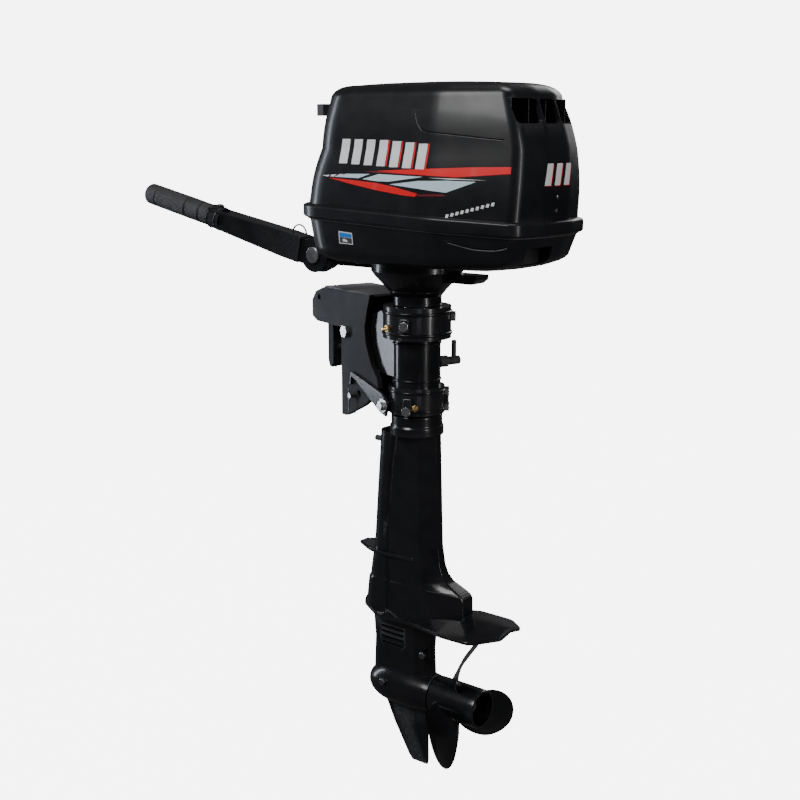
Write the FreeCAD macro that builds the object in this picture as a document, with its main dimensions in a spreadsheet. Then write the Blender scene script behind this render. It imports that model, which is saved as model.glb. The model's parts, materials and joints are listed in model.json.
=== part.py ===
"""Outboard motor, short shaft, tiller steered, built as separate pieces.

Frame: X points aft, Y to starboard, Z up. The origin is the middle of the transom seat, on the plane of the
transom's aft face. Pieces that turn with the steering are drawn about the steering axis and then carried to it.
"""
import FreeCAD, Part
import math
import os
import re

import Sketcher
from FreeCAD import Placement, Rotation, Vector

doc = FreeCAD.newDocument("OutboardMotor")

# Name, size in millimetres or degrees, meaning. Heights are above the transom seat.
DIMENSIONS = [
    ("steer_x", 140, "steering axis behind the transom face"),
    ("steer_angle", 20, "steering angle that the piece is drawn at"),
    ("bracket_half", 40, "half width of the clamp bracket"),
    ("plate_thick", 8, "thickness of its side plates"),
    ("hook_reach", 88, "reach of the bracket forward of the transom face"),
    ("seat_rise", 54, "height of the bracket's top above the seat"),
    ("plate_drop", 127, "depth of the side plates below the seat"),
    ("leg_half", 14, "half width of the clamp leg"),
    ("screw_z", -42, "height of the clamp screw"),
    ("screw_radius", 6, "clamp screw"),
    ("pivot_x", 16, "tilt pivot behind the transom face"),
    ("pivot_z", -4, "height of the tilt pivot"),
    ("pivot_radius", 5, "tilt pivot bolt"),
    ("pin_reach", 91, "tilt angle pin's distance from the tilt pivot"),
    ("pin_radius", 4, "tilt angle pin"),
    ("tube_radius", 32, "swivel tube, outside"),
    ("tube_bore", 24, "swivel tube, inside"),
    ("upper_ring", 46, "radius of the swivel bracket's upper ring"),
    ("lower_ring", 38, "radius of its lower ring"),
    ("ring_top", 45, "top of the upper ring"),
    ("ring_bottom", -101, "bottom of the lower ring"),
    ("steering_radius", 20, "steering tube, outside"),
    ("steering_bore", 13, "steering tube, inside"),
    ("run_gap", 0.05, "radial clearance of a running fit"),
    ("shaft_radius", 5, "driveshaft"),
    ("prop_z", -507, "height of the propeller shaft"),
    ("prop_shaft_radius", 8, "propeller shaft"),
    ("hub_radius", 27.5, "propeller hub"),
    ("blade_tip", 100, "propeller radius"),
    ("blade_pitch", 152, "propeller pitch"),
    ("leg_top", -131, "top of the leg housing"),
    ("leg_foot", -345, "joint between the leg housing and the gearcase"),
    ("fin_z", -303, "height of the spray fin"),
    ("plate_z", -381, "height of the anti-ventilation plate"),
    ("wall", 4, "wall of the castings"),
    ("shell", 3, "wall of the plastic cowl"),
    ("floor_z", 104, "underside of the lower pan"),
    ("rim_z", 166, "height of the cowl joint over the steering axis"),
    ("rim_fall", 0.044, "fall of the cowl joint per millimetre aft"),
    ("bead_half", 8, "half height of the bead round the cowl joint"),
    ("nose_x", -130, "front of the powerhead"),
    ("side_y", 100, "half width of the powerhead"),
    ("tail_x", 202, "rear corner of the powerhead"),
    ("tail_y", 76, "half width of the rear panel"),
    ("shoulder_z", 252, "height of the cowl's rear shoulder"),
    ("roof_z", 335, "height of the cowl's roof"),
    ("crank_z", 163, "height of the cylinder's axis"),
    ("crank_radius", 9, "crankshaft"),
    ("flywheel_radius", 60, "flywheel"),
    ("flywheel_z", 224, "underside of the flywheel"),
    ("rope_z", 302, "height of the starter rope"),
    ("pulley_radius", 34, "starter rope's radius on its pulley"),
    ("rope_angle", -17.7, "direction of the starter rope in plan"),
    ("tiller_x", -150, "tiller pivot forward of the steering axis"),
    ("tiller_z", 106, "height of the tiller pivot"),
    ("tiller_rise", 12, "angle of the tiller above level"),
    ("arm_length", 216, "tiller pivot to the grip"),
    ("grip_length", 140, "length of the twist grip"),
    ("grip_radius", 16, "twist grip"),
]

sheet = doc.addObject("Spreadsheet::Sheet", "Dimensions")
for row, (alias, amount, meaning) in enumerate(DIMENSIONS, start=1):
    sheet.set(f"A{row}", meaning)
    sheet.set(f"B{row}", str(amount))
    sheet.setAlias(f"B{row}", alias)
doc.recompute()
ALIASES = {alias for alias, _, _ in DIMENSIONS}
AXES = {"x": Vector(1, 0, 0), "y": Vector(0, 1, 0), "z": Vector(0, 0, 1)}
ALONG = {"x": Rotation(Vector(0, 1, 0), 90), "y": Rotation(Vector(1, 0, 0), -90), "z": Rotation()}


# ------------------------------------------------------------------ helpers
def bound(text):
    """Write a formula of sheet names as an expression that the document follows."""
    return re.sub(r"[a-z]\w*", lambda word: f"Dimensions.{word[0]}" if word[0] in ALIASES else word[0], str(text))


def size(text):
    """Value of a formula of sheet names."""
    return float(sheet.evalExpression(bound(text)))


def tie(thing, place, text):
    thing.setExpression(place, bound(text))


def put(thing, x, y, z, axis="z"):
    """Stand a primitive on (x, y, z) with its own axis along the named one."""
    thing.Placement = Placement(Vector(), ALONG[axis])
    for letter, text in zip("xyz", (x, y, z)):
        tie(thing, f"Placement.Base.{letter}", text)
    return thing


def box(name, x, y, z):
    """Block between the pairs of limits x, y and z."""
    thing = doc.addObject("Part::Box", name)
    for side, (low, high) in zip(("Length", "Width", "Height"), (x, y, z)):
        tie(thing, side, f"({high}) - ({low})")
    return put(thing, x[0], y[0], z[0])


def turned(kind, name, x, y, z):
    """Round primitive whose axis is the one coordinate given as a pair of limits."""
    thing = doc.addObject(kind, name)
    spot = {"x": x, "y": y, "z": z}
    axis = next(letter for letter, limit in spot.items() if isinstance(limit, tuple))
    low, high = spot[axis]
    tie(thing, "Height", f"({high}) - ({low})")
    spot[axis] = low
    return put(thing, spot["x"], spot["y"], spot["z"], axis)


def rod(name, radius, x=0, y=0, z=0):
    thing = turned("Part::Cylinder", name, x, y, z)
    tie(thing, "Radius", radius)
    return thing


def cone(name, start, finish, x=0, y=0, z=0):
    thing = turned("Part::Cone", name, x, y, z)
    tie(thing, "Radius1", start)
    tie(thing, "Radius2", finish)
    return thing


def hexagon(name, corner, x=0, y=0, z=0):
    thing = turned("Part::Prism", name, x, y, z)
    thing.Polygon = 6
    tie(thing, "Circumradius", corner)
    return thing


def fuse(name, *things):
    thing = doc.addObject("Part::MultiFuse", name)
    thing.Shapes = list(things)
    return thing


def cut(name, base, *tools):
    thing = doc.addObject("Part::Cut", name)
    thing.Base = base
    thing.Tool = tools[0] if len(tools) == 1 else fuse(f"{name}_tools", *tools)
    return thing


def group(name, *things):
    """Separate like solids that share one node."""
    thing = doc.addObject("Part::Compound", name)
    thing.Links = list(things)
    return thing


def draw(sketch, points):
    """Close a straight-sided outline, each corner tied to the sheet by its two distances."""
    spots = [(size(across), size(up)) for across, up in points]
    first = sketch.GeometryCount
    for index, spot in enumerate(spots):
        following = spots[(index + 1) % len(spots)]
        sketch.addGeometry(Part.LineSegment(Vector(*spot, 0), Vector(*following, 0)))
    for index, texts in enumerate(points):
        line = first + index
        following = first + (index + 1) % len(points)
        sketch.addConstraint(Sketcher.Constraint("Coincident", line, 2, following, 1))
        for kind, text, axis in zip(("DistanceX", "DistanceY"), texts, (-2, -1)):
            if size(text) == 0:
                sketch.addConstraint(Sketcher.Constraint("PointOnObject", line, 1, axis))
                continue
            number = sketch.addConstraint(Sketcher.Constraint(kind, -1, 1, line, 1, size(text)))
            tie(sketch, f"Constraints[{number}]", text)


def ring(sketch, across, up, radius):
    """Circle whose middle and radius are tied to the sheet."""
    line = sketch.addGeometry(Part.Circle(Vector(size(across), size(up), 0), AXES["z"], size(radius)))
    number = sketch.addConstraint(Sketcher.Constraint("Radius", line, size(radius)))
    tie(sketch, f"Constraints[{number}]", radius)
    for kind, text, axis in zip(("DistanceX", "DistanceY"), (across, up), (-2, -1)):
        if size(text) == 0:
            sketch.addConstraint(Sketcher.Constraint("PointOnObject", line, 3, axis))
            continue
        number = sketch.addConstraint(Sketcher.Constraint(kind, -1, 1, line, 3, size(text)))
        tie(sketch, f"Constraints[{number}]", text)


def slab(name, points, y):
    """Side outline in X and Z, as thick as the pair of limits y."""
    sketch = doc.addObject("Sketcher::SketchObject", f"{name}_outline")
    sketch.Placement = Placement(Vector(), Rotation(Vector(1, 0, 0), 90))
    tie(sketch, "Placement.Base.y", y[0])
    draw(sketch, points)
    thing = doc.addObject("Part::Extrusion", name)
    thing.Base = sketch
    thing.DirMode = "Custom"
    thing.Dir = AXES["y"]
    thing.Solid = True
    tie(thing, "LengthFwd", f"({y[1]}) - ({y[0]})")
    return thing


def body_sketch(body, role, name):
    sketch = body.newObject("Sketcher::SketchObject", name)
    plane = next(plane for plane in body.Origin.OriginFeatures if plane.Role == role)
    sketch.AttachmentSupport = [(plane, "")]
    sketch.MapMode = "FlatFace"
    return sketch


def revolved(name, points, axis="V_Axis"):
    """Body turned from an outline in X and Z about the vertical or, with H_Axis, the fore-and-aft axis."""
    body = doc.addObject("PartDesign::Body", name)
    sketch = body_sketch(body, "XZ_Plane", f"{name}_outline")
    draw(sketch, points)
    turn = body.newObject("PartDesign::Revolution", f"{name}_turn")
    turn.Profile = sketch
    turn.ReferenceAxis = (sketch, [axis])
    turn.Angle = 360
    return body


def padded(body, name, points, width, kind="PartDesign::Pad"):
    """Add a side outline to a body, or cut it away, evenly about the middle plane."""
    sketch = body_sketch(body, "XZ_Plane", f"{name}_outline")
    draw(sketch, points)
    feature = body.newObject(kind, name)
    feature.Profile = sketch
    feature.SideType = "Symmetric"
    tie(feature, "Length", width)
    return feature


def bored(body, name, role, rings, depth):
    """Cut round holes right through a body, evenly about the middle plane."""
    sketch = body_sketch(body, role, f"{name}_outline")
    for across, up, radius in rings:
        ring(sketch, across, up, radius)
    pocket = body.newObject("PartDesign::Pocket", name)
    pocket.Profile = sketch
    pocket.SideType = "Symmetric"
    tie(pocket, "Length", depth)
    return pocket


def rounded(points, radii, lift):
    """Closed wire of straight runs joined by tangent arcs; lift places each flat point in space."""
    corners = [Vector(*point, 0) for point in points]
    edges = []
    ends = []
    for index, corner in enumerate(corners):
        back = (corners[index - 1] - corner).normalize()
        ahead = (corners[(index + 1) % len(corners)] - corner).normalize()
        half_turn = math.acos(max(-1, min(1, back.dot(ahead)))) / 2
        reach = radii[index] / math.tan(half_turn)
        middle = corner + (back + ahead).normalize() * (radii[index] / math.sin(half_turn))
        crown = middle + (corner - middle).normalize() * radii[index]
        ends.append((corner + back * reach, crown, corner + ahead * reach))
    for index, (start, crown, finish) in enumerate(ends):
        edges.append(Part.Arc(lift(start), lift(crown), lift(finish)).toShape())
        following = ends[(index + 1) % len(ends)][0]
        edges.append(Part.LineSegment(lift(finish), lift(following)).toShape())
    return Part.Wire(edges)


def loft(wires, smooth=False):
    return Part.makeLoft(wires, True, not smooth)


def level(height):
    """Lift for a wire that lies level."""
    return lambda point: Vector(point.x, point.y, height)


def shaped(name, shape):
    thing = doc.addObject("Part::Feature", name)
    thing.Shape = shape
    return thing


PIECES = []


def fixed(name, thing):
    """Register a piece that is drawn in the transom frame."""
    thing.Label = name
    PIECES.append(thing)
    return thing


def steered(name, thing):
    """Register a piece that is drawn about the steering axis, and carry it there."""
    thing.Label = name
    thing.Placement = Placement(Vector(size("steer_x"), 0, 0), Rotation(AXES["z"], size("steer_angle")))
    tie(thing, "Placement.Base.x", "steer_x")
    tie(thing, "Placement.Rotation.Angle", "steer_angle")
    PIECES.append(thing)
    return thing


# ------------------------------------------------------------ clamp bracket
def pin_spot(angle):
    """Place of a tilt-pin hole, at an angle below level about the tilt pivot."""
    across = f"pivot_x + pin_reach * {math.cos(math.radians(angle)):.4f}"
    up = f"pivot_z - pin_reach * {math.sin(math.radians(angle)):.4f}"
    return across, up


PIN_ANGLES = (76, 67, 58, 49.5)


def clamp_bracket():
    body = doc.addObject("PartDesign::Body", "ClampBracket")
    side = [("-hook_reach", 6), ("-hook_reach", 30), ("12 - hook_reach", 44), ("36 - hook_reach", "seat_rise - 2"),
            (82, "seat_rise"), (74, 34), (67, 8), (70, -14), (84, -42), (100, -58), (104, -72), (94, -84),
            (62, -104), (12, "-plate_drop"), (0, "-plate_drop"), (0, 0), ("14 - hook_reach", 0)]
    padded(body, "BracketSide", side, "2 * bracket_half")
    inside = [("16 - hook_reach", 8), ("16 - hook_reach", 42), (0, 42), (0, 70), (125, 70), (125, -140), (6, -140),
              (6, -24), (0, -24), (0, 8)]
    padded(body, "BracketInside", inside, "2 * (bracket_half - plate_thick)", "PartDesign::Pocket")
    between = [(-5, -140), (-5, -24), (8, -24), (8, -140)]
    padded(body, "FlangeGap", between, "bracket_half", "PartDesign::Pocket")
    leg = [("-hook_reach", 10), ("-hook_reach", "screw_z - 22"), ("5 - hook_reach", "screw_z - 30"),
           ("11 - hook_reach", "screw_z - 30"), ("16 - hook_reach", "screw_z - 22"), ("16 - hook_reach", 10)]
    padded(body, "ClampLeg", leg, "2 * leg_half")
    holes = [(*pin_spot(angle), "pin_radius + 0.1") for angle in PIN_ANGLES]
    bored(body, "PinHoles", "XZ_Plane", holes, "3 * bracket_half")
    mounting = [("pivot_x", "pivot_z", "pivot_radius"), ("22 - hook_reach", 36, 4)]
    bored(body, "PivotHoles", "XZ_Plane", mounting, "3 * bracket_half")
    bored(body, "ScrewHole", "YZ_Plane", [(0, "screw_z", "screw_radius + run_gap")], 400)
    fixed("clamp_bracket", body)


def clamp_fastenings():
    shank = rod("PivotShank", "pivot_radius", "pivot_x", ("-bracket_half - 6", "bracket_half + 12"), "pivot_z")
    head = hexagon("PivotHead", 9.5, "pivot_x", ("-bracket_half - 6", "-bracket_half"), "pivot_z")
    nut = hexagon("PivotNut", 9, "pivot_x", ("bracket_half", "bracket_half + 8"), "pivot_z")
    fixed("tilt_pivot_bolt", fuse("PivotBolt", shank, head, nut))
    across, up = pin_spot(PIN_ANGLES[0])
    pin = rod("AnglePinShank", "pin_radius", across, ("-bracket_half - 9", "bracket_half + 8"), up)
    head = rod("AnglePinHead", 7, across, ("bracket_half + 5", "bracket_half + 8"), up)
    clip = rod("AnglePinClip", 1.2, f"{across} - 3", "-bracket_half - 7.5", (f"{up} - 24", f"{up} + 9"))
    fixed("tilt_angle_pin", fuse("AnglePin", pin, head, clip))


def clamp_screw():
    screw = rod("ScrewRod", "screw_radius", ("-hook_reach - 14", -25), 0, "screw_z")
    tip = rod("ScrewTip", 4, (-25.5, -19.5), 0, "screw_z")
    handle = rod("ScrewHandle", 4, "-hook_reach - 9", 0, ("screw_z - 30", "screw_z + 30"))
    knobs = [rod(f"ScrewKnob{sign}", 5.5, "-hook_reach - 9", 0, (f"screw_z + {low}", f"screw_z + {low} + 7"))
             for sign, low in (("Low", -34), ("High", 27))]
    fixed("clamp_screw", fuse("ClampScrew", screw, tip, handle, *knobs))
    pad = cone("PadDisc", 12, 20, (-18, -12), 0, "screw_z")
    boss = rod("PadBoss", 10, (-24.5, -18), 0, "screw_z")
    socket = rod("PadSocket", "4 + run_gap", (-26, -19), 0, "screw_z")
    fixed("clamp_pad", cut("ClampPad", fuse("PadSolid", pad, boss), socket))


# ---------------------------------------------------------- swivel bracket
def swivel_bracket():
    tube = rod("SwivelTube", "tube_radius", "steer_x", 0, ("ring_bottom", "ring_top"))
    upper = rod("UpperRing", "upper_ring", "steer_x", 0, ("ring_top - 43", "ring_top"))
    lower = rod("LowerRing", "lower_ring", "steer_x", 0, ("ring_bottom", "ring_bottom + 37"))
    eye = rod("PivotEye", 13.5, "pivot_x", (-30, 30), "pivot_z")
    arm = slab("SwivelArm", [("pivot_x", "pivot_z + 13.5"), ("steer_x - 44", 34), ("steer_x", 34), ("steer_x", -52),
                             ("steer_x - 40", -52), ("steer_x - 70", -46), ("pivot_x", "pivot_z - 13.5")], (-30, 30))
    hollow = slab("ArmHollow", [("pivot_x + 18", 40), ("steer_x - 48", 40), ("steer_x - 36", -60),
                                ("pivot_x + 18", -60)], (-20, 20))
    across, up = pin_spot(PIN_ANGLES[0])
    stop = slab("TiltStop", [(f"{across} + pin_radius + 0.4", f"{up} + 8"),
                             (f"{across} + pin_radius + 0.4", f"{up} - 8"), ("steer_x", "ring_bottom"),
                             ("steer_x", "ring_bottom + 22"), ("steer_x - 40", "ring_bottom + 22")], (-18, 18))
    lug = rod("LockLug", 9, "steer_x - 14", ("-bracket_half", -30), "ring_bottom + 10")
    solid = fuse("SwivelSolid", tube, upper, lower, eye, cut("HollowArm", arm, hollow), stop, lug)
    bore = rod("SwivelBore", "tube_bore", "steer_x", 0, ("ring_bottom - 5", "ring_top + 5"))
    eye_bore = rod("EyeBore", "pivot_radius + run_gap", "pivot_x", (-35, 35), "pivot_z")
    lock_hole = rod("LockHole", 4, "steer_x - 14", ("-bracket_half - 2", -32), "ring_bottom + 10")
    friction_hole = rod("FrictionHole", "5 + run_gap", "steer_x", (15, 45), -36)
    fixed("swivel_bracket", cut("SwivelBracket", solid, bore, eye_bore, lock_hole, friction_hole))


def radial(name, thing, angle, height):
    """Turn a piece drawn along X about the steering axis, and lift it."""
    thing = group(name, thing)
    thing.Placement = Placement(Vector(size("steer_x"), 0, size(height)), Rotation(AXES["z"], angle))
    tie(thing, "Placement.Base.x", "steer_x")
    tie(thing, "Placement.Base.z", height)
    return thing


def swivel_fittings():
    bushes = []
    for name, low, high in (("Upper", "ring_top - 25", "ring_top"), ("Lower", "ring_bottom", "ring_bottom + 25")):
        outer = rod(f"{name}BushOutside", "tube_bore - run_gap", "steer_x", 0, (low, high))
        inner = rod(f"{name}BushInside", "steering_radius + run_gap", "steer_x", 0, (f"{low} - 1", f"{high} + 1"))
        bushes.append(cut(f"{name}Bush", outer, inner))
    fixed("steering_bushes", group("SteeringBushes", *bushes))
    bolts = []
    for index, (radius, angle, height) in enumerate((("upper_ring", -53, "ring_top - 23"),
                                                     ("upper_ring", 50, "ring_top - 14"),
                                                     ("lower_ring", -52, "ring_bottom + 7"),
                                                     ("lower_ring", 52, "ring_bottom + 8"),
                                                     ("lower_ring", 58, "ring_bottom + 28"))):
        head = hexagon(f"RingBolt{index}", 7, (radius, f"{radius} + 6"), 0, 0)
        bolts.append(radial(f"RingBoltPlace{index}", head, angle, height))
    fixed("ring_bolts", group("RingBolts", *bolts))
    nipples = []
    for index, (radius, angle, height) in enumerate((("upper_ring", -88, "ring_top - 28"),
                                                     ("lower_ring", -36, "ring_bottom + 12"))):
        base = hexagon(f"NippleBase{index}", 5, (radius, f"{radius} + 4"), 0, 0)
        tip = cone(f"NippleTip{index}", 3, 2, (f"{radius} + 4", f"{radius} + 10"), 0, 0)
        nipples.append(radial(f"NipplePlace{index}", fuse(f"Nipple{index}", base, tip), angle, height))
    fixed("grease_nipples", group("GreaseNipples", *nipples))
    shank = rod("LockShank", 4, "steer_x - 14", ("-bracket_half - 9", -32), "ring_bottom + 10")
    washer = rod("LockWasher", 10, "steer_x - 14", ("-bracket_half - 7", "-bracket_half - 5.3"), "ring_bottom + 10")
    head = hexagon("LockHead", 7, "steer_x - 14", ("-bracket_half - 12", "-bracket_half - 7"), "ring_bottom + 10")
    fixed("lock_pivot_bolt", fuse("LockBolt", shank, washer, head))


HOOK_LIFT = 14


def reverse_lock_hook():
    """Hook that drops over the tilt angle pin and keeps the leg down in reverse; drawn lifted clear of it."""
    across, up = pin_spot(PIN_ANGLES[0])
    plate = slab("HookPlate", [("steer_x - 6", "ring_bottom - 3"), ("steer_x - 6", "ring_bottom + 18"),
                               ("steer_x - 24", "ring_bottom + 24"), (f"{across} - 8", f"{up} + 11"),
                               (f"{across} - 8", f"{up} - 8"), (f"{across} - 4.6", f"{up} - 8"),
                               (f"{across} - 4.6", f"{up} + 4.6"), (f"{across} + 6", f"{up} + 4.6"),
                               ("steer_x - 22", "ring_bottom - 3")], ("-bracket_half - 5", "-bracket_half - 1"))
    hole = rod("HookHole", "4 + run_gap", "steer_x - 14", ("-bracket_half - 6", "-bracket_half"), "ring_bottom + 10")
    hook = cut("LockHook", plate, hole)
    middle = Vector(size("steer_x - 14"), 0, size("ring_bottom + 10"))
    hook.Placement = Placement(Vector(), Rotation(AXES["y"], HOOK_LIFT), middle)
    fixed("reverse_lock_hook", hook)


def friction_lever():
    screw = rod("FrictionScrew", 5, "steer_x", ("steering_radius + 0.4", 56), -36)
    shoulder = rod("FrictionShoulder", 8, "steer_x", ("tube_radius + 3", 48), -36)
    knob = rod("FrictionKnob", 6, "steer_x", (52, 68), -36)
    lever = rod("FrictionHandle", 3.5, "steer_x", 60, (-36, -8))
    fixed("friction_lever", fuse("FrictionLever", screw, shoulder, knob, lever))


# ------------------------------------------------- steering tube and yokes
def steering_column():
    tube = rod("SteeringOutside", "steering_radius", 0, 0, ("ring_bottom - 11", "ring_top + 17"))
    bore = rod("SteeringInside", "steering_bore", 0, 0, ("ring_bottom - 15", "ring_top + 20"))
    steered("steering_tube", cut("SteeringTube", tube, bore))
    yoke = revolved("LowerYoke", [("steering_radius", "ring_bottom - 1"), (33, "ring_bottom - 1"),
                                  (35, "ring_bottom - 4"), (35, "ring_bottom - 16"), (37, "ring_bottom - 19"),
                                  (37, "leg_top"), ("steering_bore", "leg_top"), ("steering_bore", "ring_bottom - 11"),
                                  ("steering_radius", "ring_bottom - 11")])
    steered("lower_yoke", yoke)
    bracket = revolved("EngineBracket", [("steering_radius", "ring_top + 1"), (33, "ring_top + 1"),
                                         (33, "ring_top + 13"), (40, "ring_top + 22"), (58, "floor_z - 18"),
                                         (62, "floor_z - 12"), (62, "floor_z"), (38, "floor_z"), (38, "ring_top + 19"),
                                         ("steering_radius", "ring_top + 19")])
    padded(bracket, "RearArm", [(48, "floor_z - 24"), (98, "floor_z - 24"), (106, "floor_z - 18"),
                                (106, "floor_z - 12"), (48, "floor_z - 12")], 28)
    steered("engine_bracket", bracket)


# ------------------------------------------------------------ leg housing
def foil(nose, tail, half, height, spread=0.0):
    """Level outline of a faired leg: round nose, flat sides, square tail."""
    half += spread
    nose -= spread
    tail += spread
    points = [(nose, -half), (tail, -half), (tail, half), (nose, half)]
    corner = min(5.0, half * 0.4)
    return rounded(points, [half * 0.98, corner, corner, half * 0.98], level(height))


def fin_outline(height):
    points = [(-92, -14), (-60, -37), (-10, -37), (18, -22), (18, 22), (-10, 37), (-60, 37), (-92, 14)]
    return rounded(points, [10, 14, 20, 4, 4, 20, 14, 10], level(height))


def leg_housing():
    top = size("leg_top")
    foot = size("leg_foot")
    wall = size("wall")
    stations = [(-55, 24, 23.5, top), (-66, 29, 24, top - 154), (-75, 40, 25, foot)]
    outside = loft([foil(*station) for station in stations])
    fin_z = size("fin_z")
    fin = loft([fin_outline(fin_z - 2.5), fin_outline(fin_z + 2.5)])
    inside = [(-55, 24, 23.5, top - 8), (-66, 29, 24, top - 154), (-75, 40, 25, foot - 1)]
    hollow = loft([foil(*station, spread=-wall) for station in inside])
    entry = Part.makeCylinder(size("steering_bore"), 20, Vector(0, 0, top - 10))
    outlet = Part.makeCylinder(4, 13, Vector(-62, -12, top - 14), AXES["x"])
    solid = outside.fuse(fin).cut([hollow, entry, outlet])
    steered("leg_housing", shaped("LegHousing", solid.removeSplitter()))
    pipe = rod("WaterPipe", 3.5, -30, 0, ("leg_foot", "leg_top - 12"))
    steered("water_tube", group("WaterTube", pipe))
    spout = rod("Spout", 4, (-62, -49), -12, "leg_top - 14")
    bore = rod("SpoutBore", 2.4, (-65, -48), -12, "leg_top - 14")
    steered("telltale_nozzle", cut("TelltaleNozzle", spout, bore))


def water_pump():
    outside = rod("PumpOutside", 18, 0, 0, ("leg_foot", "leg_foot + 28"))
    chamber = rod("PumpChamber", 15.5, 0, 0, ("leg_foot + 4", "leg_foot + 24"))
    way = rod("PumpShaftWay", "shaft_radius + 0.5", 0, 0, ("leg_foot - 5", "leg_foot + 35"))
    steered("pump_housing", cut("PumpHousing", outside, chamber, way))
    hub = rod("ImpellerHub", 8, 0, 0, ("leg_foot + 5", "leg_foot + 23"))
    blade = box("ImpellerBlade", (6, 15), (-1.2, 1.2), ("leg_foot + 5", "leg_foot + 23"))
    blades = []
    for index in range(6):
        copy = group(f"ImpellerBlade{index}", blade)
        copy.Placement = Placement(Vector(), Rotation(AXES["z"], 60 * index))
        blades.append(copy)
    bore = rod("ImpellerBore", "shaft_radius", 0, 0, ("leg_foot", "leg_foot + 30"))
    steered("pump_impeller", cut("PumpImpeller", fuse("ImpellerSolid", hub, *blades), bore))


# --------------------------------------------------------------- gearcase
PLUGS = ((-38, -33, -27, 8), (24, -19, -14, 60))
TORPEDO = [(-80, 0), (-79, 6), (-74, 15), (-62, 23.5), (-42, 29), (-10, 30.5), (20, 29), (37, 27)]


def torpedo():
    """Bullet-shaped gearcase body: a smooth curve turned about the propeller shaft."""
    height = size("prop_z")
    curve = Part.BSplineCurve()
    curve.interpolate([Vector(across, 0, height + out) for across, out in TORPEDO])
    last = TORPEDO[-1][0]
    edges = [curve.toShape(),
             Part.LineSegment(curve.EndPoint, Vector(last, 0, height)).toShape(),
             Part.LineSegment(Vector(last, 0, height), curve.StartPoint).toShape()]
    return Part.Face(Part.Wire(edges)).revolve(Vector(0, 0, height), AXES["x"], 360)


PLATE_FALL = 12


def plate_outline(height):
    side = [(-88, -16), (-40, -42), (84, -56), (130, -53), (160, -26)]
    points = side + [(across, -out) for across, out in reversed(side)]
    return rounded(points, [14, 40, 60, 24, 14, 14, 24, 60, 40, 14], level(height))


def skeg_outline(nose, tail, half, height):
    return rounded([(nose, -half), (tail, -half), (tail, half), (nose, half)], [half * 0.9] * 4, level(height))


def roofed_plate(plate):
    """Anti-ventilation plate with a ridge along its middle, from which both sides fall away."""
    fin = loft([plate_outline(plate - 11), plate_outline(plate + 3)])
    for side in (-1, 1):
        ramp = Part.makeBox(300, 120, 40, Vector(-120, min(side, 0) * 120, 0))
        ramp.rotate(Vector(), AXES["x"], -side * PLATE_FALL)
        ramp.translate(Vector(0, 0, plate + 3))
        fin = fin.cut(ramp)
    return fin


def gearcase():
    foot = size("leg_foot")
    plate = size("plate_z")
    shaft = size("prop_z")
    head = loft([foil(-75, 40, 25, foot), foil(-79, 84, 22, foot - 12), foil(-81, 90, 20, plate)])
    strut = loft([foil(-74, 38, 18, plate), foil(-70, 33, 15, shaft + 66), foil(-72, 34, 16, shaft + 8)])
    skeg = loft([skeg_outline(-58, 24, 5, shaft - 20), skeg_outline(-38, 22, 4, shaft - 62),
                 skeg_outline(-6, 24, 2.5, shaft - 113)])
    fin = roofed_plate(plate)
    solid = head.fuse([strut, skeg, fin, torpedo()])
    well = Part.makeCylinder(size("shaft_radius") + 2, foot - shaft + 5, Vector(0, 0, shaft))
    gears = Part.makeCylinder(22, 60, Vector(-23, 0, shaft), AXES["x"])
    pocket = Part.makeCylinder(12, 12, Vector(-35, 0, shaft), AXES["x"])
    dome = Part.makeCylinder(12, 34, Vector(0, 0, shaft))
    intake = Part.makeBox(46, 60, 4, Vector(-50, -30, plate - 32))
    slots = [intake.translated(Vector(0, 0, -9 * step)) for step in range(3)]
    rooms = foil(-79, 60, 14, foot - 6)
    exhaust = loft([rooms, foil(-66, 70, 10, plate + 8)])
    exhaust = exhaust.common(Part.makeBox(60, 60, 60, Vector(20, -30, plate)))
    seats = [Part.makeCylinder(5, far - near, Vector(x, near, shaft + up), AXES["y"])
             for x, near, far, up in PLUGS]
    solid = solid.cut([well, gears, pocket, dome, exhaust] + slots + seats).removeSplitter()
    steered("gearcase", shaped("Gearcase", solid))
    bolts = [hexagon(f"CaseBolt{index}", 5.5, x, y, ("plate_z - 15.5", "plate_z - 11"))
             for index, (x, y) in enumerate(((-40, -30), (-40, 30), (60, -28), (60, 28)))]
    plugs = [rod(f"DrainPlug{index}", 5, x, (near, far), f"prop_z + {up}")
             for index, (x, near, far, up) in enumerate(PLUGS)]
    steered("gearcase_bolts", group("GearcaseBolts", *bolts, *plugs))


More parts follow.
